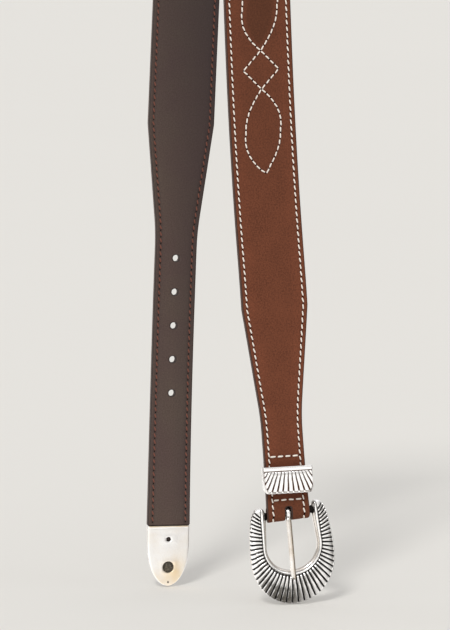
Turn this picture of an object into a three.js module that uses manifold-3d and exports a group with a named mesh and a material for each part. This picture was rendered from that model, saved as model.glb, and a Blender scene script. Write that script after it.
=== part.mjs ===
// Western belt, hung folded in two. Millimetres, +Z up, the buckle half in front, towards -Y.
// The origin is the highest point of the fold's inner side, where the belt bears on what holds it.
// A place on the belt is given by its station, the distance from the buckle's bar along the belt,
// by its offset across the belt, and by its height above the plane where the two layers meet.

import * as THREE from 'three';
import { mergeVertices } from 'three/addons/utils/BufferGeometryUtils.js';
import Module from 'manifold-3d';

const wasm = await Module();
wasm.setup();

const DEGREE = Math.PI / 180;
const QUARTER_TURN = Math.PI / 2;

// Belt
const BELT_SIZE = 800;
const HOLE_COUNT = 5;
const HOLE_PITCH = 20;
const HOLE_RADIUS = 1.75;
const END_TO_FIRST_HOLE = 79;
const LEATHER_END = BELT_SIZE + END_TO_FIRST_HOLE + HOLE_PITCH * (HOLE_COUNT - 1) / 2;

// Widths towards the buckle and towards the tail, which is a little wider. One passes into the other
// in the fold.
const BUCKLE_SIDE = { wide: 39, narrow: 24 };
const TAIL_SIDE = { wide: 39.7, narrow: 24.8 };
const SIDE_CHANGE = { start: 400, length: 100 };
const TAPER_LENGTH = 73;
const TAPER_SOFT_SHARE = 0.25;
const BUCKLE_TAPER_START = 48;
const TAIL_TAPER_START = 165;
const BUCKLE_FLARE = { length: 40, extra: 0.6 };
const TAIL_FLARE = { length: 100, extra: 0.9 };

const SUEDE_THICKNESS = 1.7;
const LINING_THICKNESS = 1.6;
const LAYER_GAP = 0.25;
const LINING_FACE = -(LAYER_GAP + LINING_THICKNESS);
const EDGE_CHAMFER = 0.4;
const LINING_START = 5;
const PIECE_GAP = 0.3;

// Sideways lean of the belt, in degrees from plumb, at a station. The buckle half leans to +X
// on its way down and the tail half leans to -X.
const LEAN = [
  { station: 0, lean: 4.9 },
  { station: 50, lean: 4.2 },
  { station: 85, lean: 3.3 },
  { station: 110, lean: 3.5 },
  { station: 150, lean: 4.7 },
  { station: 200, lean: 3.7 },
  { station: 260, lean: 2.5 },
  { station: 300, lean: 2.2 },
  { station: 380, lean: 3.65 },
  { station: 450, lean: 4.8 },
  { station: 530, lean: 4.1 },
  { station: 605, lean: 2.6 },
  { station: 730, lean: 2.5 },
  { station: 845, lean: 1.6 },
  { station: LEATHER_END, lean: 1.1 },
];

// Fold over the support
const FOLD_LENGTH = 216;
const TAIL_HANGS_LOWER = 17;

// Bar and the belt's end round it
const BAR_RADIUS = 2;
const LOOP_RADIUS = 2.75;
const LOOP_THICKNESS = 1.5;
const SLOT = { width: 3.7, top: 4.4, bottom: -7, cutDepth: 16 };

// Inner face of the folded-back end, as its distance behind the bar's axis at a height above it
const FLAP = [
  { height: 0, behind: LOOP_RADIUS },
  { height: 2.5, behind: 2.2 },
  { height: 5, behind: 0.6 },
  { height: 7.4, behind: -0.6 },
  { height: 11, behind: 0.85 },
  { height: 20, behind: 0.9 },
  { height: 31, behind: 0.85 },
  { height: 34.2, behind: -0.6 },
  { height: 38, behind: -0.6 },
];

// Buckle frame, in its own plane with the bar's axis at the origin. The frame hangs a little askew
// in the belt's loop: its bar leans more than the belt, and has slid to the right in it. The tongue
// stays at the belt's middle and leans less than the frame.
const FRAME_LEAN = 6.9;
const FRAME_ASIDE = 0.6;
const TONGUE_LEAN = -2.3;
const BAR_BEFORE_BACK = 1.2;
const COLLAR = {
  halfWidth: 15.5, below: 14.7, grooveRadius: 18, centre: -18.9,
  top: -2, topHalfWidth: 14.7, grooveTopHalfWidth: 17.6,
};
const RIM = { halfWidth: 25.1, centre: -25.2, below: 28.2, above: 55, top: 2, squareness: 2.15 };
const EAR_TIP = { x: 16.6, z: 4.9 };
const FRAME_FLUTES = 23;
const FLUTE_BUNCHING = 0.28;
const FRAME_HEIGHT = { wall: 2, collar: 4.2, groove: 3.1, rib: 4.0, edge: 1.4 };
const FLUTE_DEPTH = 0.7;
const BAR_FLARE = { start: 12.9, end: 14.9, radius: 2.9 };

// Tongue
const TONGUE = { loopRadius: 3.8, loopWidth: 2.3, width: 3.3, thickness: 2.3, reach: 38.6 };

// Keeper, which hangs a little less aslant than the belt. Its fluted plate is wider than its loop.
const KEEPER = {
  station: 20.5, lean: 2.7, aside: -0.05, height: 16, halfWidth: 13.6, innerHalfWidth: 12.75,
  frontInside: SUEDE_THICKNESS + 4.6, frontWall: 1.1, backWall: 1.1, chamfer: 1,
};
const KEEPER_FAN = {
  halfWidth: 14.2, pitch: 2.03, centreAbove: 18.5, rim: 2.2, groove: 3.0, ribs: 6.35, outermost: 6.9,
};
const KEEPER_RELIEF = { edge: 0.8, rim: 1.7, groove: 0.9, rib: 1.6, bedded: 0.7 };

// Metal tip
const TIP = {
  halfWidth: 12.8, straight: 10, length: 35.8, power: 2.2,
  back: -2.1, front: 1.9, cavityBack: -1.4, cavityFront: 1.3, wall: 1.7, cavityLength: 32.5,
};
const TIP_FAN = {
  inset: 0.3, pitch: 2.15, centreAbove: 30, rim: 2.2, groove: 3.0, ribs: 5.5, outermost: 5.9,
};
const TIP_RELIEF = { edge: 0.4, rim: 1.2, groove: 0.5, rib: 1.1, bedded: 0.2 };
const TIP_HOLES = [
  { below: 8, radius: 1.35 },
  { below: 24.6, radius: 3.35 },
];
const HOLE_CUT_DEPTH = 2;
const TENON = { halfWidth: 10.2, length: 9, suede: [0.1, 1.0], lining: [-1.1, -0.35] };
const END_CORNER = 1.7;

// Rest tilt of the buckle about its bar, which puts its weight right under the bar
const BUCKLE_TILT = 1.2 * DEGREE;

const suedeMaterial = new THREE.MeshStandardMaterial({ color: 0x6e3e2a, roughness: 0.95, metalness: 0 });
const liningMaterial = new THREE.MeshStandardMaterial({ color: 0x4e443e, roughness: 0.6, metalness: 0 });
const silverMaterial = new THREE.MeshStandardMaterial({ color: 0xcfcac2, roughness: 0.25, metalness: 1 });
const tipMaterial = new THREE.MeshStandardMaterial({ color: 0xd8d2c6, roughness: 0.35, metalness: 1 });

// Number helpers

function mix(from, to, share) {
  return from + (to - from) * share;
}

function smooth(share) {
  return share * share * (3 - 2 * share);
}

function steps(from, to, count) {
  return Array.from({ length: count + 1 }, (_, index) => mix(from, to, index / count));
}

// Value of a table's column at a place along its key column, blended between the rows on either side
function lookUp(table, key, column, place, blend = (share) => share) {
  const next = table.findIndex((row) => row[key] >= place);
  if (next <= 0) {
    return (next === 0 ? table[0] : table.at(-1))[column];
  }
  const before = table[next - 1];
  const after = table[next];
  const share = (place - before[key]) / (after[key] - before[key]);
  return mix(before[column], after[column], blend(share));
}

// Solid helpers

function solidOf(geometry) {
  const bare = geometry.clone();
  bare.deleteAttribute('normal');
  bare.deleteAttribute('uv');
  const merged = mergeVertices(bare, 1e-4);
  return new wasm.Manifold(new wasm.Mesh({
    numProp: 3,
    vertProperties: new Float32Array(merged.attributes.position.array),
    triVerts: new Uint32Array(merged.index.array),
  }));
}

function geometryOf(solid) {
  const mesh = solid.getMesh();
  const geometry = new THREE.BufferGeometry();
  geometry.setAttribute('position', new THREE.BufferAttribute(new Float32Array(mesh.vertProperties), 3));
  geometry.setIndex(new THREE.BufferAttribute(new Uint32Array(mesh.triVerts), 1));
  geometry.computeVertexNormals();
  return geometry;
}

// Closed body from points and triangles, turned so that its faces point outwards
function closedBody(points, triangles) {
  let volume = 0;
  for (const [a, b, c] of triangles) {
    volume += points[a].dot(new THREE.Vector3().crossVectors(points[b], points[c]));
  }
  const turned = volume < 0 ? triangles.map(([a, b, c]) => [a, c, b]) : triangles;
  const geometry = new THREE.BufferGeometry().setFromPoints(points);
  geometry.setIndex(turned.flat());
  return geometry;
}

// Body carried through a row of sections with as many points each, and closed at both ends
function loftedBody(sections) {
  const size = sections[0].length;
  const triangles = [];
  for (let row = 0; row < sections.length - 1; row += 1) {
    for (let side = 0; side < size; side += 1) {
      const a = row * size + side;
      const b = row * size + (side + 1) % size;
      triangles.push([a, b, b + size], [a, b + size, a + size]);
    }
  }
  const last = (sections.length - 1) * size;
  for (let side = 1; side < size - 1; side += 1) {
    triangles.push([0, side + 1, side], [last, last + side, last + side + 1]);
  }
  return closedBody(sections.flat(), triangles);
}

// Plate with a flat back in the plane y = 0 and a front of given heights towards -Y.
// The front is a grid of rows of {x, z, height}, and no two of its points share a place.
function reliefBody(rows) {
  const width = rows[0].length;
  const count = rows.length * width;
  const front = rows.flat().map((point) => new THREE.Vector3(point.x, -point.height, point.z));
  const back = rows.flat().map((point) => new THREE.Vector3(point.x, 0, point.z));
  const triangles = [];
  for (let row = 0; row < rows.length - 1; row += 1) {
    for (let column = 0; column < width - 1; column += 1) {
      const a = row * width + column;
      const b = a + 1;
      const c = a + width + 1;
      const d = a + width;
      triangles.push([a, b, c], [a, c, d]);
      triangles.push([a + count, c + count, b + count], [a + count, d + count, c + count]);
    }
  }
  const border = [];
  for (let column = 0; column < width - 1; column += 1) {
    border.push(column);
  }
  for (let row = 0; row < rows.length - 1; row += 1) {
    border.push(row * width + width - 1);
  }
  for (let column = width - 1; column > 0; column -= 1) {
    border.push((rows.length - 1) * width + column);
  }
  for (let row = rows.length - 1; row > 0; row -= 1) {
    border.push(row * width);
  }
  border.forEach((a, index) => {
    const b = border[(index + 1) % border.length];
    triangles.push([b, a, a + count], [b, a + count, b + count]);
  });
  return closedBody([...front, ...back], triangles);
}

function meshOf(name, geometry, material) {
  const mesh = new THREE.Mesh(geometry, material);
  mesh.name = name;
  return mesh;
}

function cylinderAlongY(radius, length, x, y, z) {
  return new THREE.CylinderGeometry(radius, radius, length, 20).translate(x, y, z);
}

// The belt's course

// Place of each whole millimetre of the centreline on the belt laid out flat: across, and along
// the way that the belt hangs
const course = [{ across: 0, along: 0 }];
for (let station = 0; station < LEATHER_END + 50; station += 1) {
  const lean = lookUp(LEAN, 'station', 'lean', station + 0.5) * DEGREE;
  const here = course.at(-1);
  course.push({ across: here.across - Math.sin(lean), along: here.along + Math.cos(lean) });
}

function flatPlace(station) {
  const whole = Math.min(Math.floor(station), course.length - 2);
  const share = station - whole;
  return {
    across: mix(course[whole].across, course[whole + 1].across, share),
    along: mix(course[whole].along, course[whole + 1].along, share),
  };
}

const FRONT_DROP = (flatPlace(LEATHER_END).along - TAIL_HANGS_LOWER - FOLD_LENGTH) / 2;
const APEX_ALONG = FRONT_DROP + FOLD_LENGTH / 2;

// The fold's curvature rises and falls as a raised cosine, from straight to its tightest at the apex
function foldPitch(along) {
  const share = THREE.MathUtils.clamp((along - APEX_ALONG) / FOLD_LENGTH, -0.5, 0.5);
  return QUARTER_TURN + Math.PI * share + Math.sin(2 * Math.PI * share) / 2;
}

const foldCourse = [{ y: 0, z: 0 }];
for (let index = 0; index < FOLD_LENGTH; index += 1) {
  const pitch = foldPitch(FRONT_DROP + index + 0.5);
  const here = foldCourse.at(-1);
  foldCourse.push({ y: here.y + Math.sin(pitch), z: here.z + Math.cos(pitch) });
}
const FOLD_WIDTH = foldCourse.at(-1).y;
const FOLD_RISE = foldCourse[FOLD_LENGTH / 2].z;
const SHOULDER_HEIGHT = -LINING_FACE - FOLD_RISE;

// Place and pitch of the plane between the layers, at a distance along the way that the belt hangs
function hangPlace(along) {
  const pitch = foldPitch(along);
  const inFold = along - FRONT_DROP;
  if (inFold <= 0) {
    return { y: -FOLD_WIDTH / 2, z: SHOULDER_HEIGHT + inFold, pitch };
  }
  if (inFold >= FOLD_LENGTH) {
    return { y: FOLD_WIDTH / 2, z: SHOULDER_HEIGHT - (inFold - FOLD_LENGTH), pitch };
  }
  const whole = Math.floor(inFold);
  const share = inFold - whole;
  const before = foldCourse[whole];
  const after = foldCourse[whole + 1];
  return {
    y: mix(before.y, after.y, share) - FOLD_WIDTH / 2,
    z: mix(before.z, after.z, share) + SHOULDER_HEIGHT,
    pitch,
  };
}

function apexStation() {
  return course.findIndex((place) => place.along >= APEX_ALONG);
}
const APEX_ACROSS = flatPlace(apexStation()).across;

// Point of the belt from its station, its offset across and its height above the plane between the layers
function beltPoint(station, offset, height) {
  const lean = lookUp(LEAN, 'station', 'lean', station) * DEGREE;
  const centre = flatPlace(station);
  const across = centre.across + offset * Math.cos(lean) - APEX_ACROSS;
  const hang = hangPlace(centre.along + offset * Math.sin(lean));
  return new THREE.Vector3(
    across,
    hang.y - height * Math.cos(hang.pitch),
    hang.z + height * Math.sin(hang.pitch),
  );
}

// Taper from narrow to wide: a soft start, then a straight side up to the knee
function taper(share) {
  const clamped = THREE.MathUtils.clamp(share, 0, 1);
  const bent = clamped < TAPER_SOFT_SHARE
    ? clamped * clamped / (2 * TAPER_SOFT_SHARE)
    : clamped - TAPER_SOFT_SHARE / 2;
  return bent / (1 - TAPER_SOFT_SHARE / 2);
}

function flare(distance, { length, extra }) {
  const share = THREE.MathUtils.clamp(1 - distance / length, 0, 1);
  return extra * share * share;
}

function halfWidth(station) {
  const fromEnd = LEATHER_END - station;
  const widening = Math.min(
    taper((station - BUCKLE_TAPER_START) / TAPER_LENGTH),
    taper((fromEnd - TAIL_TAPER_START) / TAPER_LENGTH),
  );
  const towardsTail = smooth(THREE.MathUtils.clamp((station - SIDE_CHANGE.start) / SIDE_CHANGE.length, 0, 1));
  const narrow = mix(BUCKLE_SIDE.narrow, TAIL_SIDE.narrow, towardsTail);
  const wide = mix(BUCKLE_SIDE.wide, TAIL_SIDE.wide, towardsTail);
  const body = mix(narrow, wide, widening);
  return (body + flare(station, BUCKLE_FLARE) + flare(fromEnd, TAIL_FLARE)) / 2;
}

// Stations of the sections of both layers, with one at each knee of the tapers
function beltStations(start) {
  const buckleKnee = BUCKLE_TAPER_START + TAPER_LENGTH;
  const tailKnee = LEATHER_END - TAIL_TAPER_START - TAPER_LENGTH;
  const tailTaperEnd = LEATHER_END - TAIL_TAPER_START;
  const stretches = [
    steps(start, BUCKLE_TAPER_START, 4),
    steps(BUCKLE_TAPER_START, buckleKnee, 8),
    steps(buckleKnee, tailKnee, 64),
    steps(tailKnee, tailTaperEnd, 8),
    steps(tailTaperEnd, LEATHER_END - END_CORNER, 12),
  ];
  return stretches.flatMap((stretch, index) => (index === 0 ? stretch : stretch.slice(1)));
}

// Section of a layer: flat on the side that meets the other layer, with its outer edges eased
function layerSection(half, meeting, face, place) {
  const eased = face - Math.sign(face - meeting) * EDGE_CHAMFER;
  return [
    place(-half, meeting),
    place(half, meeting),
    place(half, eased),
    place(half - EDGE_CHAMFER, face),
    place(EDGE_CHAMFER - half, face),
    place(-half, eased),
  ];
}

function beltSections(start, meeting, face) {
  return beltStations(start).map((station) => layerSection(
    halfWidth(station), meeting, face, (offset, height) => beltPoint(station, offset, height),
  ));
}

// The tail's end: its corners are rounded, and a thinner tenon goes on into the metal tip
function tailSections(meeting, face, tenonHeights) {
  const rounded = [30, 60, 90].map((angle) => {
    const back = END_CORNER * (1 - Math.sin(angle * DEGREE));
    const inset = END_CORNER * (1 - Math.cos(angle * DEGREE));
    const station = LEATHER_END - back;
    return layerSection(
      halfWidth(station) - inset, meeting, face, (offset, height) => beltPoint(station, offset, height),
    );
  });
  const [low, high] = tenonHeights;
  const tenon = [LEATHER_END, LEATHER_END + TENON.length].map((station) => layerSection(
    TENON.halfWidth,
    face > meeting ? low : high,
    face > meeting ? high : low,
    (offset, height) => beltPoint(station, offset, height),
  ));
  return [...rounded, ...tenon];
}

// Frame of the loop round the bar: its axis runs across the belt
const barCentre = beltPoint(0, 0, -LOOP_RADIUS);
const loopFrame = new THREE.Matrix4().makeRotationY(-LEAN[0].lean * DEGREE).setPosition(barCentre);

function loopPoint(x, y, z) {
  return new THREE.Vector3(x, y, z).applyMatrix4(loopFrame);
}

// The suede's end: folded back behind the lining, then round under the bar to the front
function flapSections() {
  const half = halfWidth(0);
  const heights = [38, 36, 34.2, 33, 32, 31, 25, 20, 15, 11, 10, 8.8, 7.4, 6.2, 5, 3.5, 2.5, 1.2];
  const flap = heights.map((z) => {
    const behind = lookUp(FLAP, 'height', 'behind', z, smooth);
    return layerSection(halfWidth(z), behind, behind + LOOP_THICKNESS, (x, y) => loopPoint(x, y, z));
  });
  const round = steps(180, 12, 12).map((angle) => {
    const turn = angle * DEGREE;
    return layerSection(half, LOOP_RADIUS, LOOP_RADIUS + LOOP_THICKNESS, (x, radius) => (
      loopPoint(x, -radius * Math.cos(turn), -radius * Math.sin(turn))
    ));
  });
  return [...flap, ...round];
}

function beltHoles() {
  return steps(0, HOLE_COUNT - 1, HOLE_COUNT - 1).map((index) => {
    const station = LEATHER_END - END_TO_FIRST_HOLE - HOLE_PITCH * index;
    const centre = beltPoint(station, 0, 0);
    return solidOf(cylinderAlongY(HOLE_RADIUS, SLOT.cutDepth, centre.x, centre.y, centre.z));
  });
}

// Slot for the tongue, round at its top, through the front and the folded-back end
function slotBody() {
  const radius = SLOT.width / 2;
  const shape = new THREE.Shape();
  shape.moveTo(-radius, SLOT.bottom);
  shape.lineTo(radius, SLOT.bottom);
  shape.lineTo(radius, SLOT.top - radius);
  shape.absarc(0, SLOT.top - radius, radius, 0, Math.PI, false);
  const settings = { depth: SLOT.cutDepth, bevelEnabled: false, curveSegments: 8 };
  const geometry = new THREE.ExtrudeGeometry(shape, settings);
  geometry.translate(0, 0, -SLOT.cutDepth / 2).rotateX(QUARTER_TURN).applyMatrix4(loopFrame);
  return solidOf(geometry);
}

function strapOuter() {
  const sections = [
    ...flapSections(),
    ...beltSections(0, 0, SUEDE_THICKNESS),
    ...tailSections(0, SUEDE_THICKNESS, TENON.suede),
  ];
  let solid = solidOf(loftedBody(sections)).subtract(slotBody());
  for (const hole of beltHoles()) {
    solid = solid.subtract(hole);
  }
  return meshOf('strap_outer', geometryOf(solid), suedeMaterial);
}

function strapLining() {
  const sections = [
    ...beltSections(LINING_START, -LAYER_GAP, LINING_FACE),
    ...tailSections(-LAYER_GAP, LINING_FACE, TENON.lining),
  ];
  let solid = solidOf(loftedBody(sections));
  for (const hole of beltHoles()) {
    solid = solid.subtract(hole);
  }
  return meshOf('strap_lining', geometryOf(solid), liningMaterial);
}

// Buckle frame

// Point of the collar round the opening, from the bottom centre (turn 0) up to the ear (turn 2),
// and from the opening's edge (outward 0) to the groove round the collar (outward 1).
// Its lower half is a quarter ellipse and its upper half a straight arm.
function collarPoint(turn, outward) {
  const wide = mix(COLLAR.halfWidth, COLLAR.grooveRadius, outward);
  const deep = mix(COLLAR.below, COLLAR.grooveRadius, outward);
  if (turn <= 1) {
    const angle = turn * QUARTER_TURN;
    return { x: wide * Math.sin(angle), z: COLLAR.centre - deep * Math.cos(angle) };
  }
  return {
    x: mix(wide, mix(COLLAR.topHalfWidth, COLLAR.grooveTopHalfWidth, outward), turn - 1),
    z: mix(COLLAR.centre, COLLAR.top, turn - 1),
  };
}

// Turn of the collar at a share of the length of the groove round it
function collarTurn(share) {
  const arc = COLLAR.grooveRadius * QUARTER_TURN;
  const arm = COLLAR.top - COLLAR.centre;
  const distance = share * (arc + arm);
  return distance < arc ? distance / arc : 1 + (distance - arc) / arm;
}

// Right half of the frame's outline, from the bottom centre to the foot of the ear
function rimOutline() {
  const power = 2 / RIM.squareness;
  const lower = steps(0, QUARTER_TURN, 40).map((angle) => ({
    x: RIM.halfWidth * Math.sin(angle) ** power,
    z: RIM.centre - RIM.below * Math.cos(angle) ** power,
  }));
  const upper = steps(RIM.centre, RIM.top, 20).slice(1).map((z) => ({
    x: RIM.halfWidth * Math.sqrt(1 - ((z - RIM.centre) / RIM.above) ** 2),
    z,
  }));
  return [...lower, ...upper];
}

// Point at a share of the length of a line of points
function pointAlong(line, share) {
  const lengths = [0];
  for (let index = 1; index < line.length; index += 1) {
    const apart = Math.hypot(line[index].x - line[index - 1].x, line[index].z - line[index - 1].z);
    lengths.push(lengths[index - 1] + apart);
  }
  const rows = line.map((point, index) => ({ ...point, length: lengths[index] }));
  const place = share * lengths.at(-1);
  return { x: lookUp(rows, 'length', 'x', place), z: lookUp(rows, 'length', 'z', place) };
}

const rimLine = rimOutline();

// Row of the frame's front across the band, at a share of the way from bottom centre to ear.
// A groove row lies lower than the ribs beside it. In the ear the heights sink to the edge.
function frameRow(inside, groove, outside, isGroove, sink) {
  const at = (from, to, share) => ({ x: mix(from.x, to.x, share), z: mix(from.z, to.z, share) });
  const heights = FRAME_HEIGHT;
  const sunk = (height) => heights.edge + (height - heights.edge) * sink;
  const cut = isGroove ? FLUTE_DEPTH : 0;
  const rib = (share) => (
    heights.edge + (heights.rib - heights.edge) * Math.sqrt(1 - (0.92 * share) ** 2) - cut
  );
  return [
    { ...inside, height: sunk(heights.wall) },
    { ...at(inside, groove, 0.22), height: sunk(heights.collar - 0.2) },
    { ...at(inside, groove, 0.7), height: sunk(heights.collar) },
    { ...at(inside, groove, 1), height: sunk(heights.groove) },
    { ...at(groove, outside, 0.08), height: sunk(rib(0.08)) },
    { ...at(groove, outside, 0.35), height: sunk(rib(0.35)) },
    { ...at(groove, outside, 0.65), height: sunk(rib(0.65)) },
    { ...at(groove, outside, 0.9), height: sunk(rib(0.9)) },
    { ...outside, height: heights.edge },
  ];
}

function frameHalfRows() {
  const fluted = steps(0, FRAME_FLUTES, FRAME_FLUTES * 2).map((flute) => {
    const share = flute / FRAME_FLUTES;
    const turn = collarTurn(share);
    return frameRow(
      collarPoint(turn, 0),
      collarPoint(turn, 1),
      pointAlong(rimLine, share + FLUTE_BUNCHING * share * (1 - share)),
      Number.isInteger(flute),
      1,
    );
  });
  const start = collarPoint(2, 0);
  const grooveStart = collarPoint(2, 1);
  const rimEnd = rimLine.at(-1);
  const ear = [0.2, 0.4, 0.6, 0.8, 0.93].map((share) => {
    const angle = share * QUARTER_TURN;
    const inside = {
      x: mix(EAR_TIP.x, start.x, Math.cos(angle)),
      z: mix(start.z, EAR_TIP.z, Math.sin(angle)),
    };
    const groove = {
      x: mix(grooveStart.x, EAR_TIP.x, share),
      z: mix(grooveStart.z, EAR_TIP.z, Math.sin(angle)),
    };
    const outside = {
      x: mix(EAR_TIP.x, rimEnd.x, Math.cos(angle)),
      z: mix(rimEnd.z, EAR_TIP.z, Math.sin(angle)),
    };
    return frameRow(inside, groove, outside, false, Math.sqrt(1 - share * share));
  });
  return [...fluted, ...ear];
}

// The bar, swelling at its ends where it grows out of the arms
function barBody() {
  const { start, end, radius } = BAR_FLARE;
  const profile = [
    [0, -end], [radius, -end], [mix(BAR_RADIUS, radius, 0.3), -mix(start, end, 0.5)], [BAR_RADIUS, -start],
    [BAR_RADIUS, start], [mix(BAR_RADIUS, radius, 0.3), mix(start, end, 0.5)], [radius, end], [0, end],
  ].map(([x, y]) => new THREE.Vector2(x, y));
  return solidOf(new THREE.LatheGeometry(profile, 20).rotateZ(QUARTER_TURN));
}

function buckleFrame() {
  const right = frameHalfRows();
  const left = right.slice(1).reverse().map((row) => row.map((point) => ({ ...point, x: -point.x })));
  const plate = solidOf(reliefBody([...left, ...right]).translate(0, BAR_BEFORE_BACK, 0));
  const frame = meshOf('buckle_frame', geometryOf(plate.add(barBody())), silverMaterial);
  frame.position.x = FRAME_ASIDE;
  return frame;
}

// Tongue: a loop round the bar, and a pin from its lower front down to the rim of the frame
function buckleTongue() {
  const inner = BAR_RADIUS + PIECE_GAP;
  const half = TONGUE.loopWidth / 2;
  const profile = [[inner, -half], [TONGUE.loopRadius, -half], [TONGUE.loopRadius, half], [inner, half], [inner, -half]]
    .map(([x, y]) => new THREE.Vector2(x, y));
  const loop = solidOf(new THREE.LatheGeometry(profile, 24).rotateZ(QUARTER_TURN));
  const restHeight = FRAME_HEIGHT.collar - BAR_BEFORE_BACK + PIECE_GAP + TONGUE.thickness / 2;
  const spine = [
    { z: -2.6, y: -1.6, width: TONGUE.loopWidth, thickness: 1.4 },
    { z: -3.6, y: -2.2, width: 2.6, thickness: 1.8 },
    { z: -5.5, y: -3.0, width: TONGUE.width, thickness: TONGUE.thickness },
    { z: -14, y: -3.5, width: TONGUE.width, thickness: TONGUE.thickness },
    { z: -28, y: -4.2, width: TONGUE.width, thickness: TONGUE.thickness },
    { z: -33.5, y: -restHeight, width: TONGUE.width, thickness: TONGUE.thickness },
    { z: -TONGUE.reach + 0.8, y: -restHeight, width: TONGUE.width, thickness: TONGUE.thickness },
    { z: -TONGUE.reach, y: -restHeight, width: TONGUE.width - 0.8, thickness: TONGUE.thickness - 0.8 },
  ];
  const sides = 12;
  const sections = spine.map((place) => Array.from({ length: sides }, (_, index) => {
    const angle = (index + 0.5) / sides * 2 * Math.PI;
    return new THREE.Vector3(
      place.width / 2 * Math.cos(angle) * 1.03,
      place.y + place.thickness / 2 * Math.sin(angle),
      place.z,
    );
  }));
  const pin = solidOf(loftedBody(sections));
  const tongue = meshOf('buckle_tongue', geometryOf(loop.add(pin)), silverMaterial);
  tongue.rotation.y = -TONGUE_LEAN * DEGREE;
  return tongue;
}

// Fluted plates of the keeper and the tip: a plain rim along the top, a groove, and ribs that fan out
// from a point above it. reach gives how far below the groove the ray through an offset ends.
function fanRows(fan, offsets, reach, heights, edgeOffset) {
  return offsets.map((flute) => {
    const x = fan.pitch * flute;
    const end = reach(x);
    const isGroove = Math.abs(flute % 1) === 0.5;
    const cut = isGroove ? FLUTE_DEPTH : 0;
    const topX = Math.abs(flute) === Math.abs(offsets[0]) ? Math.sign(x) * edgeOffset : x;
    const onRay = (share, height) => ({
      x: x * (1 + end * share / fan.centreAbove),
      z: -fan.groove - end * share,
      height,
    });
    return [
      { x: topX, z: 0, height: heights.edge },
      { x: topX, z: -0.4, height: heights.rim },
      { x: topX, z: -fan.rim, height: heights.rim },
      { x: mix(topX, x, 0.5), z: -fan.groove, height: heights.groove },
      onRay(0.08, heights.rib - cut),
      onRay(0.5, heights.rib - cut),
      onRay(0.92, heights.rib - cut),
      onRay(1, heights.edge),
    ];
  });
}

function keeperMesh() {
  const { height, halfWidth: half, innerHalfWidth, frontInside, frontWall, backWall, chamfer } = KEEPER;
  const backInside = -LINING_FACE + PIECE_GAP;
  const backOutside = backInside + backWall;
  const frontOutside = frontInside + frontWall;
  const ring = new THREE.Shape([
    new THREE.Vector2(chamfer - half, -backOutside),
    new THREE.Vector2(half - chamfer, -backOutside),
    new THREE.Vector2(half, chamfer - backOutside),
    new THREE.Vector2(half, frontOutside - chamfer),
    new THREE.Vector2(half - chamfer, frontOutside),
    new THREE.Vector2(chamfer - half, frontOutside),
    new THREE.Vector2(-half, frontOutside - chamfer),
    new THREE.Vector2(-half, chamfer - backOutside),
  ]);
  ring.holes.push(new THREE.Path([
    new THREE.Vector2(-innerHalfWidth, -backInside),
    new THREE.Vector2(innerHalfWidth, -backInside),
    new THREE.Vector2(innerHalfWidth, frontInside),
    new THREE.Vector2(-innerHalfWidth, frontInside),
  ]));
  const tube = new THREE.ExtrudeGeometry(ring, { depth: height, bevelEnabled: false });
  tube.scale(1, -1, 1);
  tube.index = null;
  const tubeSolid = mirroredSolid(tube, height);

  const fan = KEEPER_FAN;
  const below = height - fan.groove;
  const reach = (x) => Math.min(below, (fan.halfWidth / Math.max(Math.abs(x), 0.01) - 1) * fan.centreAbove);
  const corner = fan.halfWidth / (fan.pitch * (1 + below / fan.centreAbove));
  const right = [0, 0.5, 1, 1.5, 2, 2.5, 3, 3.5, corner, 4.5, 5, 5.5, 6, fan.ribs, fan.outermost];
  const offsets = [...right.slice(1).reverse().map((value) => -value), ...right];
  const plate = reliefBody(fanRows(fan, offsets, reach, KEEPER_RELIEF, fan.halfWidth));
  plate.translate(0, KEEPER_RELIEF.bedded - frontOutside, height / 2);
  return meshOf('keeper', geometryOf(tubeSolid.add(solidOf(plate))), silverMaterial);
}

// Extruded ring whose section was turned over, with its faces set to point outwards again
function mirroredSolid(geometry, height) {
  const position = geometry.attributes.position;
  const points = [];
  for (let index = 0; index < position.count; index += 1) {
    points.push(new THREE.Vector3().fromBufferAttribute(position, index));
  }
  const triangles = [];
  for (let index = 0; index < points.length; index += 3) {
    triangles.push([index, index + 1, index + 2]);
  }
  return solidOf(closedBody(points, triangles).translate(0, 0, -height / 2));
}

function tipHalfWidth(below) {
  if (below <= TIP.straight) {
    return TIP.halfWidth;
  }
  const share = Math.min((below - TIP.straight) / (TIP.length - TIP.straight), 1);
  return TIP.halfWidth * Math.sqrt(1 - share ** TIP.power);
}

// Outline of the tip seen from its face, made smaller by inset and cut off at a length
function tipShape(inset, top, length) {
  const span = TIP.length - TIP.straight;
  const side = steps(0, QUARTER_TURN, 10).map((angle) => TIP.straight + span * Math.sin(angle))
    .filter((below) => below < length)
    .map((below) => new THREE.Vector2(tipHalfWidth(below) - inset, -below))
    .filter((point) => point.x > 0.6);
  const right = [new THREE.Vector2(TIP.halfWidth - inset, top), ...side];
  const left = [...right].reverse().map((point) => new THREE.Vector2(-point.x, point.y));
  const point = new THREE.Vector2(0, -length);
  return new THREE.Shape([...right, point, ...left]);
}

// Solid of a tip outline between two heights. Its show side faces +Y.
function tipSlab(shape, low, high) {
  const slab = new THREE.ExtrudeGeometry(shape, { depth: high - low, bevelEnabled: false });
  return solidOf(slab.rotateX(QUARTER_TURN).translate(0, high, 0));
}

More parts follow.
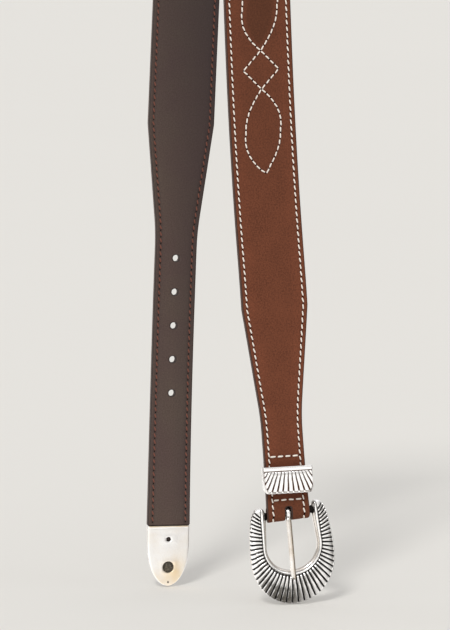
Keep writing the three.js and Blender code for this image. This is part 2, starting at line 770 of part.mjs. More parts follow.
function tipCap() {
  const body = tipSlab(tipShape(0, 0, TIP.length), TIP.back, TIP.front);
  const cavity = tipSlab(tipShape(TIP.wall, 1, TIP.cavityLength), TIP.cavityBack, TIP.cavityFront);
  const fan = TIP_FAN;
  const rayReach = (x) => {
    let low = 0;
    let high = TIP.length - fan.groove;
    for (let round = 0; round < 30; round += 1) {
      const middle = (low + high) / 2;
      const edge = tipHalfWidth(fan.groove + middle) - fan.inset;
      const inside = Math.abs(x) * (1 + middle / fan.centreAbove) < edge;
      low = inside ? middle : low;
      high = inside ? high : middle;
    }
    return low;
  };
  const right = [0, 0.5, 1, 1.5, 2, 2.5, 3, 3.5, 4, 4.5, 5, fan.ribs, fan.outermost];
  const offsets = [...right.slice(1).reverse().map((value) => -value), ...right];
  const relief = reliefBody(fanRows(fan, offsets, rayReach, TIP_RELIEF, TIP.halfWidth - fan.inset));
  relief.rotateZ(Math.PI).translate(0, TIP.front - TIP_RELIEF.bedded, 0);
  let solid = body.add(solidOf(relief)).subtract(cavity);
  for (const hole of TIP_HOLES) {
    const drill = cylinderAlongY(hole.radius, HOLE_CUT_DEPTH, 0, TIP.back, -hole.below);
    solid = solid.subtract(solidOf(drill));
  }
  return meshOf('tip_cap', geometryOf(solid), tipMaterial);
}

// Assembly

const keeper = keeperMesh();
keeper.position.copy(beltPoint(KEEPER.station, KEEPER.aside, 0));
keeper.rotation.y = -KEEPER.lean * DEGREE;

const buckle = new THREE.Group();
buckle.position.copy(barCentre);
buckle.rotation.y = -FRAME_LEAN * DEGREE;
const swing = new THREE.Group();
swing.rotation.x = BUCKLE_TILT;
swing.add(buckleFrame(), buckleTongue());
buckle.add(swing);

const tip = tipCap();
tip.position.copy(beltPoint(LEATHER_END + PIECE_GAP, 0, 0));
tip.rotation.y = LEAN.at(-1).lean * DEGREE;

const belt = new THREE.Group();
belt.add(strapOuter(), strapLining(), keeper, buckle, tip);

export default belt;
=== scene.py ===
"""Western belt hung folded in two, with its buckle, keeper and tip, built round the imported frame.

Lengths inside the shape functions are millimetres in the frame's axes: X across the belt, -Y towards
the front, Z up. A place on the belt is its station along the belt from the buckle's bar, its offset
across the belt and its height above the plane where the two leather layers meet.
"""

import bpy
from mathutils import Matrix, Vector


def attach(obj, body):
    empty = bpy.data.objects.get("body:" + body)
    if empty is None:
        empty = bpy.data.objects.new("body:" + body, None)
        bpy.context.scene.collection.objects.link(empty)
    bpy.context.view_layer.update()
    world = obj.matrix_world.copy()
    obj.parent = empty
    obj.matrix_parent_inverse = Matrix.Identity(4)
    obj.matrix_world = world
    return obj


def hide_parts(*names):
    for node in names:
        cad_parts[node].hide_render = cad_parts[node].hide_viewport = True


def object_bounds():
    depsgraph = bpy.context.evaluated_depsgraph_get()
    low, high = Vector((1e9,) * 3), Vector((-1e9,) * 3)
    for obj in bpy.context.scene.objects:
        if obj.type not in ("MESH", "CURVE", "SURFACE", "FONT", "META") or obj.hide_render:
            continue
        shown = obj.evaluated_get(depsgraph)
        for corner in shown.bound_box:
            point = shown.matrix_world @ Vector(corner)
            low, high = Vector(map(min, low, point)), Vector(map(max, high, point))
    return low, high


bl_info = {
    "name": "Western Belt",
    "version": (1, 0, 0),
    "blender": (4, 5, 0),
    "location": "3D View > Sidebar > Belt",
    "description": "Builds a hung western belt with its stitching, buckle, keeper and tip",
    "category": "Add Mesh",
}

import bpy
import numpy as np
from bpy.props import FloatProperty, FloatVectorProperty, PointerProperty
from mathutils import Matrix, Vector

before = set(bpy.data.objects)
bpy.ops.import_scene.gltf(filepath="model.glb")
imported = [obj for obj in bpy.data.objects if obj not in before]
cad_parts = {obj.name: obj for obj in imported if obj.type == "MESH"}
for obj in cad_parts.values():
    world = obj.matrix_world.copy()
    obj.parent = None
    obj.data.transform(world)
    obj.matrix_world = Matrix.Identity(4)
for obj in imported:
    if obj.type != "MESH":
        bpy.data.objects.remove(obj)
CAD_BOX = [list(corner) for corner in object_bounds()]

MM = 0.001
PI = np.pi

# The belt's course, as the solids have it
LEATHER_END = 919
LEAN_STATIONS = (0, 50, 85, 110, 150, 200, 260, 300, 380, 450, 530, 605, 730, 845, 919)
LEAN_ANGLES = (4.9, 4.2, 3.3, 3.5, 4.7, 3.7, 2.5, 2.2, 3.65, 4.8, 4.1, 2.6, 2.5, 1.6, 1.1)
FOLD_LENGTH = 216
TAIL_HANGS_LOWER = 17
LINING_OUTSIDE = 1.85
TAPER_LENGTH = 73
TAPER_SOFT_SHARE = 0.25
SIDE_CHANGE = (400, 100)
TAIL_WIDE_EXTRA = 0.7
TAIL_NARROW_EXTRA = 0.8
BUCKLE_FLARE = (40, 1.6)
TAIL_FLARE = (100, 0.9)
BUCKLE_TAPER_START = 48
TAIL_TAPER_START = 165
END_CORNER = 0.9
LINING_START = 5
LAYER_MEET = 0.125
LAYER_CLEAR = 0.01
LINING_RAMP = 3

# Loop round the bar and the end folded back behind it
LOOP_RADIUS = 2.75
LOOP_THICKNESS = 1.5
LOOP_RAMP = 5
LOOP_ARC = PI * LOOP_RADIUS
FLAP_HEIGHTS = (0, 2.5, 5, 7.4, 11, 20, 31, 34.2, 38)
FLAP_BEHIND = (2.75, 2.2, 0.6, -0.6, 0.85, 0.9, 0.85, -0.6, -0.6)
FLAP_END = 38
SLOT_RADIUS = 1.85
SLOT_ROUND_CENTRE = 2.6

# Size holes in the tail
HOLE_RADIUS = 1.95
HOLE_STATIONS = (840, 820, 800, 780, 760)

# Sewn pattern: lenses and diamonds in turn
PATTERN_START = 198.8
LENS_LENGTH = 48.8
LENS_HALF_WIDTH = 10.25
LENS_SWING = 5.2
LENS_PARABOLA_SHARE = 0.35
LENS_COUNT = 6
DIAMOND_LENGTH = 22.2
DIAMOND_HALF_WIDTH = 10.5
PATTERN_END = PATTERN_START + LENS_COUNT * LENS_LENGTH + (LENS_COUNT - 1) * DIAMOND_LENGTH
PATTERN_WANDER = {"from": 225, "rise": 75, "until": 500, "fall": 100}
END_BOW = 1.5
END_SHORT = 0.5
PATTERN_PITCH = 3.7
STITCH_DIRECTION_REACH = 0.4

# Rows across the belt, the thread's pods and the needle holes between them, dark with a painted shade
BORDER_START = -4.5
CROSS_ROWS = (8.6, 34.1)
CROSS_SKEW = 0.055
CROSS_ASIDE = 0.2
CROSS_SHORTER = 0.4
CROSS_LONGER = 1.15
CROSS_THICKER = 1.35
FLAP_INSET = 2.7
FRONT_THREAD = {"height": 0.65, "raised": 0.12, "dive": 0.5}
BACK_THREAD = {"height": 0.5, "raised": 0.02, "dive": 0.4}
POD = {"rings": 7, "sides": 8, "turn": 80, "of_pitch": 0.92, "thinner": 0.45, "wobble": 2.0}
NEEDLE = {"rings": 5, "sides": 6, "turn": 75, "deep": 0.15, "sunk": 0.08}

# Surface of the leather: furrows along the sewing, and the grids' columns and holes
FLAP_NARROWER = 0.9
BORDER_FURROW = 0.62
PATTERN_FURROW = 0.7
CROSS_FURROW = 0.6
SUEDE_SEAM_DEPTH = 0.24
BORDER_PULL = 0.6
EDGE_ROLL = {"height": 0.06, "inset": 1.2, "width": 0.7}
LINING_SEAM = {"inset": 2.8, "width": 1.1, "depth": 0.16}
INNER_EASE = 0.12
SUEDE_INSETS = (0, 0.05, 0.16, 0.3, 0.45, 0.9, 1.5, 2.0, 2.4, 2.75, 3.1, 3.6, 4.4)
LINING_INSETS = (0, 0.05, 0.16, 0.3, 0.45, 1.0, 1.7, 2.2, 2.6, 3.0, 3.4, 3.9, 4.6)
EVEN_COLUMNS_INSET = 6.0
HOLE_ROWS_CLEAR = 2.4
HOLE_REACH = 2.2
HOLE_SHARE = 1 / 3

# Shares of the colours blended into the leather and the thread, and where along the belt they hold
# The pressed shares darken the leather along the sewing, partly as pressed leather and partly as a painted
# shade in the sewing's furrows
SUEDE = {"patches": 0.22, "specks": 0.7, "least": 0.04, "inside": 0.5, "unworn": 0.19, "pressed": 0.45}
LINING = {"specks": 0.5, "unworn": 0.5, "pressed": 0.65}
LENS_SHADE = {"first": 0.2, "later_more": 0.6, "fade": 4}
PALE_BAND = {"inset": 2.6, "width": 3.2, "beyond": 0.24}
BUCKLE_SHADE = {"from": 18, "length": 20, "share": 0.5}
# Stretches where the leather is darker towards the fold. On the lining this darkening is a painted shade
# from the belt's front half hanging in front of it, and so is the lining's darkening to one side
SUEDE_FOLD_DARK = {"from": 60, "rise": 260, "fall": 260}
LINING_FOLD_DARK = {"from": 60, "rise": 260, "fall": 300}
LINING_SIDE_SHADE = 0.38
PAINT_WIDTH = 0.45
THREAD_DARKER = 0.9

# Buckle frame in its own plane, with the bar's axis at the origin
FRAME_LEAN = 6.9
FRAME_ASIDE = 0.6
FRAME_TILT = 1.2
BACK_BEHIND_BAR = 1.2
COLLAR = {"inner": 15.5, "deep": 14.7, "groove": 18, "centre": -18.9}
COLLAR_TOP = {"z": 0, "inner": 13.9, "groove": 17.4}
RIM = {"half": 25.1, "centre": -25.2, "below": 28.2, "above": 55, "top": 3.4, "squareness": 2.15}
RIM_EAR = {"from": -1.5, "length": 5, "inward": 1.3}
EAR_TIP = (16.3, 5.3)
EAR_TURN = 82
FLUTES = 24
FLUTE_BUNCHING = 0.28

# Flutes: the groove's flat floor and sloping side in millimetres, its depth, the rib's crown, the notch in
# the outer lip, and the rows of points from one groove's middle to the next as shares
FLUTE_FLOOR = 0.3
FLUTE_SIDE = 0.26
FLUTE_DEPTH = 0.75
FLUTE_CROWN = 0.14
FLUTE_NOTCH = 0.3
FLUTE_PHASES = (0, 0.05, 0.08, 0.12, 0.16, 0.2, 0.35, 0.5, 0.65, 0.8, 0.84, 0.88, 0.92, 0.95)

# Bead about the opening: share of the way to the groove, height over the plate's back, and darkening: a
# painted shade on the inner slope, which faces the opening, and oxide by the groove
BEAD = (
    (0, 0.04, 0.12, 0.28, 0.35, 0.4, 0.46, 0.54, 0.64, 0.74, 0.84, 0.92, 0.96),
    (1.9, 2.6, 2.95, 3.3, 3.25, 3.4, 3.8, 4.1, 4.2, 4.15, 3.9, 3.45, 3.0),
    (0.5, 0.4, 0.2, 0.2, 0.6, 0.5, 0, 0, 0, 0, 0, 0.3, 0.85),
)

# Ribs: share of the way from the groove to the outline, an elliptic arch over it, and tables over the same
# share for what the ends add to the height and for how much of the flute and of the notch is there
BAND = (0, 0.02, 0.05, 0.1, 0.2, 0.34, 0.48, 0.6, 0.7, 0.78, 0.85, 0.9, 0.93, 0.955, 0.98, 1.0)
ARCH = {"base": 1.4, "rise": 2.6, "share": 0.92}
RIB_START = ((0, 0.02, 0.05, 0.1), (-0.95, -0.7, -0.15, 0))
RIB_END = ((0.9, 0.93, 0.955, 0.98, 1.0), (0, 0.12, 0.22, 0.2, -0.7))
RIB_SHARE = ((0, 0.03, 0.1, 1.0), (0, 0.3, 1, 1))
NOTCH_SHARE = ((0.9, 1.0), (0, 1))

# Oxide in the groove, a painted shade in a warm tint on the bead's inner side, stain on the plate's back,
# and the bar with its thicker ends, whose oxide colour there is a painted shade
GROOVE_HOLLOW = ((0.0, 0.05), (0.9, 0))
BEAD_SHADE = ((0, 4, 5), (0.5, 0.5, 0))
BACK_RECESS = {"depth": 0.9, "from": 0.08, "until": 0.93, "ramp": 0.12}
BACK_HOLLOW = {"share": 0.45, "places": (0.12, 0.88), "width": 0.06}
BACK_STAIN = {"least": 0.25, "more": 0.35, "from": 0.1, "ramp": 0.4}
BAR_FLARE = ((12.9, 13.9, 14.9), (2, 2.27, 2.9))
BAR_END_SHADE = ((8.0, 12.0), (0, 1))
BAR_ENDS = (8, 12.9, 13.3, 13.8, 14.2, 14.6, 14.9)
BAR_SIDES = 28

# Tongue: its ring, the pin's spine and section by height, how the section closes at the pin's end, and a
# painted shade down one side of the pin
TONGUE_TURN = 2.3
RING = {"radius": 3.15, "thick": 0.85, "half": 1.1, "squareness": 3, "around": 48, "sides": 14}
PIN_Z = (-2.0, -2.3, -2.9, -4.5, -14, -28, -33.5, -38.6)
PIN_Y = (-1.9, -2.2, -2.5, -2.75, -3.5, -4.2, -4.45, -4.45)
PIN_WIDTH = (1.6, 2.3, 2.9, 3.1, 3.1, 3.1, 3.1, 3.1)
PIN_THICKNESS = (1.2, 1.6, 1.9, 1.95, 2.3, 2.3, 2.3, 2.3)
PIN_END = ((37.4, 37.8, 38.15, 38.4, 38.55, 38.6), (1, 0.97, 0.9, 0.75, 0.55, 0.4))
PIN_ROOT = (-2.0, -2.15, -2.3, -2.6, -2.9, -3.4)
PIN_STRAIGHT = {"from": -4.5, "rows": 36, "sides": 20}
PIN_SQUARENESS = 2.15
PIN_SIDE_SHADE = {"least": 0.2, "more": 0.7, "middle": 0.4, "slope": 0.8}

# Keeper and tip. A fan's ribs spread from a point above its groove, and heights are over its base
KEEPER_STATION = 21.1
KEEPER_ASIDE = -0.05
KEEPER_LEAN = 4.8
KEEPER_SLOPE = 1.2
KEEPER = {"height": 16, "half": 13.6, "inner": 12.75, "front": 6.3, "back": 2.15, "wall": 1.1,
          "back_half": 6.6, "corner": 2.0, "inner_corner": 1.2, "plate_out": 0.4, "shorter": 0.1,
          "slope_length": 4}
KEEPER_LEVELS = (-1, -0.99, -0.962, 0, 0.962, 0.99, 1)
KEEPER_INWARD = (0.3, 0.1, 0, 0, 0, 0.1, 0.3)
KEEPER_FAN = {"half": 14.4, "pitch": 1.99, "above": 18.5, "rim": 2.3, "groove": 2.85, "below": 13.15,
              "slip": -0.084, "corner": 2.6, "floor": 0.06, "facet": 0.42, "edge_up": 0.6, "rim_up": 1.75,
              "groove_up": 0.95, "rib_up": 1.65, "cut": 0.7, "bevel": 1.0, "side": -1,
              "middle_groove": True}
FAN_RIB = {"cut_side": 0.11, "floor_start": 0.4, "floor_growth": 1.2, "crown": 0.12, "step": 0.3}
FAN_SIDE = {"width": 0.5, "drop": 0.3}
FAN_BACK = 0.3
FAN_PHASES = (-0.5, -0.47, -0.44, -0.41, -0.37, -0.31, -0.15, 0, 0.15, 0.31, 0.37, 0.41, 0.44, 0.47)
TIP = {"half": 12.8, "straight": 10, "length": 35.8, "power": 2.2, "back": -2.1, "front": 1.7, "wall": 1.7,
       "rim": 0.9}
TIP_DISH = {"depth": 0.14, "side": 5.0, "from": 1.4, "ramp": 4}
TIP_CAVITY = {"back": -1.4, "front": 1.2, "length": 32.5, "from": 27, "ramp": 8}
TIP_FAN = {"half": 12.5, "pitch": 2.15, "above": 30, "rim": 2.2, "groove": 3.0, "slip": 0, "floor": 0.06,
           "facet": 0.0, "edge_up": 0.1, "rim_up": 1.0, "groove_up": 0.3, "rib_up": 0.9, "cut": 0.6,
           "bevel": 0.6, "side": 1, "middle_groove": False}
TIP_HOLES = ((8, 1.35), (24.6, 3.35))
TIP_HOLE_REACH = 1.7
TIP_HOLE_SHARE = 0.32
TIP_MOUTH = {"lip": 0.55, "lip_width": 0.5, "lip_height": 0.12, "groove": 1.35, "groove_width": 0.25,
             "groove_depth": 0.1, "eased": 0.25}
TIP_LIP = {"eased": 0.3, "height": 0.18, "out": 0.55, "width": 0.4}
TIP_DIMPLE = {"below": 33.6, "radius": 0.7}
# The inside values darken the shell's inner face, seen through the holes, as a painted shade
TIP_STAIN = {"x": 4.0, "below": 26.0, "radius": 6.5, "least": 0.02, "spot": 0.6, "point": 0.35, "most": 0.9,
             "inside": 0.5, "point_from": 25, "ramp": 8, "mouth": 0.2, "mouth_width": 0.35}
TIP_HOLLOW = {"groove": 0.35, "groove_width": 0.2, "sides": 0.42, "inside": 0.6}
TENON = {"from": -0.5, "until": 9.0, "half": 10.2}
FAR_AWAY = 99.0
TIP_GAP = 0.3

# Camera, light and floor, in metres. What the metal mirrors is brighter than what lights the scene, but
# darker on the right, and the floor is a painted reflection for it: glowing white, with a painted dark patch
# close to the belt
CAMERA_PLACE = (-0.8234, -3.0797, 0.0485)
SENSOR_WIDTH = 36
KEY_TOWARDS = (0.37, 0.67, -0.643)
SKY_RISE = (-0.1, 0.8)
GLOSSY_SKY = 1.1
DARK_SIDE = 0.5
DARK_SKY_REACH = (0.55, 0.9)
FLOOR_GAP = 0.0006
FLOOR_HALF = 30
FLOOR_GLOW = 0.5
FLOOR_DARKER = 0.985
DARK_FLOOR = (0.027, -0.038, CAD_BOX[0][2])
DARK_FLOOR_REACH = (0.012, 0.029)
DARK_FLOOR_STRETCH = 0.6
DARK_SIDE_SLOPE = 0.8
DARK_SIDE_REACH = (-0.02, 0.06)


def tone(red, green, blue):
    """Linear colour of a display colour given in 0 to 255."""
    shares = np.array((red, green, blue)) / 255
    linear = np.where(shares < 0.04045, shares / 12.92, ((shares + 0.055) / 1.055) ** 2.4)
    return tuple(float(value) for value in linear)


# Number helpers


def mix(start, end, share):
    return start + (end - start) * share


def smooth(share):
    """Smooth step: 3 s^2 - 2 s^3 of the share held between 0 and 1."""
    held = np.clip(share, 0, 1)
    return held * held * (3 - 2 * held)


def bump(distance, width):
    """Bell curve of a distance, 1 at zero: e to the power -(distance / width)^2."""
    return np.exp(-((distance / width) ** 2))


def joined(*values):
    """Arrays of coordinates, spread to one shape, as one array of points."""
    return np.stack(np.broadcast_arrays(*values), -1)


def round_angles(count):
    """Angles all the way round, evenly spaced."""
    return np.arange(count) / count * 2 * PI


def turned(points, about_y, about_x=0.0):
    """Points turned about X and then about Y, in degrees, by the right-hand rule."""
    a, b = np.radians(about_x), np.radians(about_y)
    x, y, z = np.moveaxis(points, -1, 0)
    y, z = y * np.cos(a) - z * np.sin(a), y * np.sin(a) + z * np.cos(a)
    return np.stack([x * np.cos(b) + z * np.sin(b), y, z * np.cos(b) - x * np.sin(b)], -1)


# The belt's course


def lean_at(station):
    """Sideways lean of the belt at a station, in radians, straight between the table's rows."""
    return np.radians(np.interp(station, LEAN_STATIONS, LEAN_ANGLES))


COURSE_LEAN = lean_at(np.arange(LEATHER_END + 50) + 0.5)
COURSE_ACROSS = np.concatenate([[0], -np.cumsum(np.sin(COURSE_LEAN))])
COURSE_ALONG = np.concatenate([[0], np.cumsum(np.cos(COURSE_LEAN))])
COURSE_STATION = np.arange(len(COURSE_ALONG))


def along_at(station):
    return np.interp(station, COURSE_STATION, COURSE_ALONG)


FRONT_DROP = (along_at(LEATHER_END) - TAIL_HANGS_LOWER - FOLD_LENGTH) / 2
APEX_ALONG = FRONT_DROP + FOLD_LENGTH / 2


def fold_pitch(along):
    """Turn of the belt over the fold: a half turn whose rate is a raised cosine, tightest at the apex."""
    share = np.clip((along - APEX_ALONG) / FOLD_LENGTH, -0.5, 0.5)
    return PI / 2 + PI * share + np.sin(2 * PI * share) / 2


FOLD_PITCH = fold_pitch(FRONT_DROP + np.arange(FOLD_LENGTH) + 0.5)
FOLD_Y = np.concatenate([[0], np.cumsum(np.sin(FOLD_PITCH))])
FOLD_Z = np.concatenate([[0], np.cumsum(np.cos(FOLD_PITCH))])
FOLD_WIDTH = FOLD_Y[-1]
SHOULDER_HEIGHT = LINING_OUTSIDE - FOLD_Z[FOLD_LENGTH // 2]
APEX_ACROSS = COURSE_ACROSS[np.argmax(COURSE_ALONG >= APEX_ALONG)]


def belt_point(station, offset, height):
    """Point of the belt. The offset runs square to the leaning centreline in the belt's own surface, and
    the height square to that surface, which hangs plumb, turns over the fold and hangs plumb again."""
    lean = lean_at(station)
    across = np.interp(station, COURSE_STATION, COURSE_ACROSS) + offset * np.cos(lean) - APEX_ACROSS
    along = along_at(station) + offset * np.sin(lean)
    in_fold = along - FRONT_DROP
    pitch = fold_pitch(along)
    held = np.clip(in_fold, 0, FOLD_LENGTH)
    steps = np.arange(FOLD_LENGTH + 1)
    y = np.interp(held, steps, FOLD_Y) - FOLD_WIDTH / 2
    z = np.interp(held, steps, FOLD_Z) + SHOULDER_HEIGHT
    z = z + np.minimum(in_fold, 0) - np.maximum(in_fold - FOLD_LENGTH, 0)
    return joined(across, y - height * np.cos(pitch), z + height * np.sin(pitch))


BAR_CENTRE = belt_point(0, 0, -LOOP_RADIUS)


def loop_point(x, y, z):
    """Point of the loop round the bar, in axes that lean with the belt's end."""
    return turned(joined(x, y, z), -LEAN_ANGLES[0]) + BAR_CENTRE


def flap_behind(height):
    """How far the folded-back end's inner face lies behind the bar's axis: smooth steps between rows."""
    rows = np.array(FLAP_HEIGHTS)
    index = np.clip(np.searchsorted(rows, height, side="right") - 1, 0, len(rows) - 2)
    share = (height - rows[index]) / (rows[index + 1] - rows[index])
    behind = np.array(FLAP_BEHIND)
    return mix(behind[index], behind[index + 1], smooth(share))


def suede_point(path, offset, height):
    """Point of the suede. The path is the station on the front; below zero it runs round the bar and
    then up the folded-back end. The height is out of the suede's inner face."""
    front = belt_point(np.maximum(path, 0), offset, height)
    angle = np.clip(-path / LOOP_RADIUS, 0, PI)
    radius = LOOP_RADIUS + height
    wrap = loop_point(offset, -radius * np.cos(angle), -radius * np.sin(angle))
    up = np.maximum(-path - LOOP_ARC, 0)
    flap = loop_point(offset, flap_behind(up) + height, up)
    in_front = (path >= 0)[..., None]
    in_wrap = (path >= -LOOP_ARC)[..., None]
    return np.where(in_front, front, np.where(in_wrap, wrap, flap))


def taper(share):
    """Taper from narrow to wide: a parabola over the soft share, then a straight side."""
    held = np.clip(share, 0, 1)
    soft = TAPER_SOFT_SHARE
    bent = np.where(held < soft, held * held / (2 * soft), held - soft / 2)
    return bent / (1 - soft / 2)


def buckle_flare(station):
    """What each side gains towards the buckle: a parabola of the share of the flare's length."""
    return BUCKLE_FLARE[1] / 2 * np.clip(1 - station / BUCKLE_FLARE[0], 0, 1) ** 2


def half_width(station):
    """Half width of the belt at a station: the narrower of the two tapers, with a slight flare at each end.
    Past the fold the belt is a little wider."""
    belt = bpy.context.scene.belt_leather
    from_end = LEATHER_END - station
    widening = np.minimum(
        taper((station - BUCKLE_TAPER_START) / TAPER_LENGTH),
        taper((from_end - TAIL_TAPER_START) / TAPER_LENGTH),
    )
    past_fold = smooth((station - SIDE_CHANGE[0]) / SIDE_CHANGE[1])
    narrow = belt.narrow / MM + TAIL_NARROW_EXTRA * past_fold
    wide = belt.wide / MM + TAIL_WIDE_EXTRA * past_fold
    tail_flare = TAIL_FLARE[1] / 2 * np.clip(1 - from_end / TAIL_FLARE[0], 0, 1) ** 2
    return mix(narrow, wide, widening) / 2 + buckle_flare(station) + tail_flare


def end_rounding(station):
    """How much the tail's rounded corners take off the half width: the arc of a quarter circle."""
    into = np.clip((station - LEATHER_END + END_CORNER) / END_CORNER, 0, 1)
    return END_CORNER * (1 - np.sqrt(1 - into**2))


def pattern_middle(station):
    """How far the sewn pattern's middle lies off the belt's own: a smooth step aside, and one back."""
    aside = smooth((station - PATTERN_WANDER["from"]) / PATTERN_WANDER["rise"])
    return aside * smooth((PATTERN_WANDER["until"] - station) / PATTERN_WANDER["fall"])


def pattern_offset(station, side):
    """Offset of the sewn pattern's line on one side, +1 or -1. A lens side is a mix of a cosine arch and a
    parabola, fuller above its middle on the right and below it on the left by the swing times t (1 - t^2).
    A diamond side is straight from the crossing to its corner. Each end of the pattern is a small round
    bow."""
    place = (station - PATTERN_START) % (LENS_LENGTH + DIAMOND_LENGTH)
    t = np.clip(2 * place / LENS_LENGTH - 1, -1, 1)
    upper = np.maximum(t * side, 0)
    lens = LENS_HALF_WIDTH * mix(np.cos(t * PI / 2), 1 - t * t, LENS_PARABOLA_SHARE)
    lens = lens + LENS_SWING * upper * (1 - upper**2)
    diamond = DIAMOND_HALF_WIDTH * (1 - np.abs(2 * (place - LENS_LENGTH) / DIAMOND_LENGTH - 1))
    from_end = np.minimum(station - PATTERN_START, PATTERN_END - station) - END_SHORT
    into = np.clip(from_end / END_BOW, 0, 1)
    bow = END_BOW * np.sqrt(1 - (1 - into) ** 2)
    near_end = np.clip(2 - from_end / (2 * END_BOW), 0, 1)
    shape = np.maximum(np.where(place < LENS_LENGTH, lens, diamond), bow * near_end)
    return np.where(into < 1, bow, shape)


# Mesh helpers


def neighbour(kept, down, right, wrap):
    """Whether the cell one step down or right is kept. Beyond the border nothing is, unless it wraps."""
    rows, columns = kept.shape
    padded = np.pad(kept, ((1, 1), (0, 0)))
    padded = np.pad(padded, ((0, 0), (1, 1)), mode="wrap" if wrap else "constant")
    return padded[1 + down : 1 + down + rows, 1 + right : 1 + right + columns]


def plate_faces(kept, wrap=False):
    """Quads of a closed plate between two like grids of points: both faces where a cell is kept, and a
    wall along every border of the kept cells, holes among them."""
    rows, columns = kept.shape
    index = np.arange((rows + 1) * (columns if wrap else columns + 1)).reshape(rows + 1, -1)
    count = index.size
    if wrap:
        index = np.hstack([index, index[:, :1]])
    a, b, c, d = index[:-1, :-1], index[1:, :-1], index[1:, 1:], index[:-1, 1:]
    quads = [np.stack([a, b, c, d], -1)[kept], np.stack([a, d, c, b], -1)[kept] + count]
    for start, end, down, right in ((a, b, 0, -1), (b, c, 1, 0), (c, d, 0, 1), (d, a, -1, 0)):
        bare = kept & ~neighbour(kept, down, right, wrap)
        quads.append(np.stack([end, start, start + count, end + count], -1)[bare])
    return [np.concatenate(quads)]


def tube_faces(tubes, rings, sides):
    """Quads between the rings of several closed tubes, and a cap on each end."""
    index = np.arange(tubes * rings * sides).reshape(tubes, rings, sides)
    after = np.roll(index, -1, axis=2)
    walls = np.stack([index[:, :-1], after[:, :-1], after[:, 1:], index[:, 1:]], -1).reshape(-1, 4)
    caps = np.concatenate([index[:, 0, ::-1], index[:, -1]])
    return [walls, caps]


def ring_faces(rings, sides):
    """Quads of a grid that closes on itself both ways."""
    index = np.arange(rings * sides).reshape(rings, sides)
    after, below = np.roll(index, -1, axis=1), np.roll(index, -1, axis=0)
    return [np.stack([index, after, np.roll(after, -1, axis=0), below], -1).reshape(-1, 4)]


def volume_sign(points, faces):
    """Sign of the enclosed volume, from the triangles fanned out of each face's first corner."""
    total = 0.0
    for group in faces:
        first = points[group[:, 0]]
        for side in range(1, group.shape[1] - 1):
            total += np.sum(first * np.cross(points[group[:, side]], points[group[:, side + 1]]))
    return np.sign(total)


def part(points, faces, uv=None, fields=None, material=0):
    """A closed part of a piece: its points, faces turned outwards, texture places and fields."""
    flat = points.reshape(-1, 3)
    used = np.unique(np.concatenate([group.ravel() for group in faces]))
    renumber = np.zeros(len(flat), int)
    renumber[used] = np.arange(len(used))
    kept = flat[used]
    groups = [renumber[group] for group in faces]
    if volume_sign(kept - kept.mean(0), groups) < 0:
        groups = [group[:, ::-1] for group in groups]
    places = np.zeros((len(flat), 2)) if uv is None else uv.reshape(-1, 2)
    values = {name: field.ravel()[used] for name, field in (fields or {}).items()}
    return {"points": kept, "faces": groups, "uv": places[used], "fields": values, "material": material}


def plate_part(face, back, fields, kept=None, uv=None, wrap=False):
    """Closed part between two like grids of points, of all their cells or of those kept. The pair of values
    of a field is for the face and the back."""
    if kept is None:
        kept = np.ones((face.shape[0] - 1, face.shape[1] - (0 if wrap else 1)), bool)
    both = {name: np.stack(np.broadcast_arrays(*pair)) for name, pair in fields.items()}
    return part(np.stack([face, back]), plate_faces(kept, wrap), uv, both)


def new_piece(name, parts, materials, body, nodes=(), crease=35):
    """One mesh of several parts, in metres, riding on a body and taking its finish from a slot."""
    mesh = bpy.data.meshes.new(name)
    points = np.concatenate([one["points"] for one in parts]) * MM
    starts = np.cumsum([0] + [len(one["points"]) for one in parts[:-1]])
    groups = []
    for one, start in zip(parts, starts):
        groups += [(group + start, one["material"]) for group in one["faces"]]
    corners = np.concatenate([group.ravel() for group, _ in groups])
    sizes = np.concatenate([np.full(len(group), group.shape[1]) for group, _ in groups])
    slots = np.concatenate([np.full(len(group), index) for group, index in groups])
    mesh.vertices.add(len(points))
    mesh.vertices.foreach_set("co", points.ravel())
    mesh.loops.add(len(corners))
    mesh.loops.foreach_set("vertex_index", corners)
    mesh.polygons.add(len(sizes))
    mesh.polygons.foreach_set("loop_start", np.cumsum(sizes) - sizes)
    mesh.update(calc_edges=True)
    mesh.validate()
    for material in materials:
        mesh.materials.append(material)
    mesh.polygons.foreach_set("material_index", slots)
    uv = np.concatenate([one["uv"] for one in parts])
    mesh.uv_layers.new(name="surface").data.foreach_set("uv", uv[corners].ravel())
    for field in sorted({key for one in parts for key in one["fields"]}):
        values = [one["fields"].get(field, np.zeros(len(one["points"]))) for one in parts]
        mesh.attributes.new(field, "FLOAT", "POINT").data.foreach_set("value", np.concatenate(values))
    mesh.shade_smooth()
    mesh.set_sharp_from_angle(angle=np.radians(crease))
    piece = bpy.data.objects.new(name, mesh)
    bpy.context.scene.collection.objects.link(piece)
    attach(piece, body)
    if nodes:
        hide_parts(*nodes)
    return piece


def opened(x, z, share, border, centre, straight, radius, reach):
    """Grid points drawn round a hole. The ring of cells at a square distance s from the hole's centre line
    goes to a round distance s, fading back to the plain grid at reach. Returns the new x and z, and s."""
    a = share / border * radius
    far = z - centre
    b = np.sign(far) * np.maximum(np.abs(far) - straight, 0)
    square = np.maximum(np.abs(a), np.abs(b))
    round_distance = np.maximum(np.hypot(a, b), 1e-9)
    fade = smooth((square - radius) / (reach - radius))
    x_round, b_round = a / round_distance * square, b / round_distance * square
    return mix(x_round, x, fade), mix(z - b + b_round, z, fade), square


def left_out(square, radius):
    """Cells whose four corners all lie on or inside the hole's border."""
    inside = square <= radius * 1.0001
    return inside[:-1, :-1] & inside[1:, :-1] & inside[:-1, 1:] & inside[1:, 1:]


def eased(inset, radius):
    """Drop of a face near its border: the arc of a quarter circle of the radius."""
    near = np.clip(1 - inset / radius, 0, 1)
    return radius * (1 - np.sqrt(1 - near**2))


# Node helpers


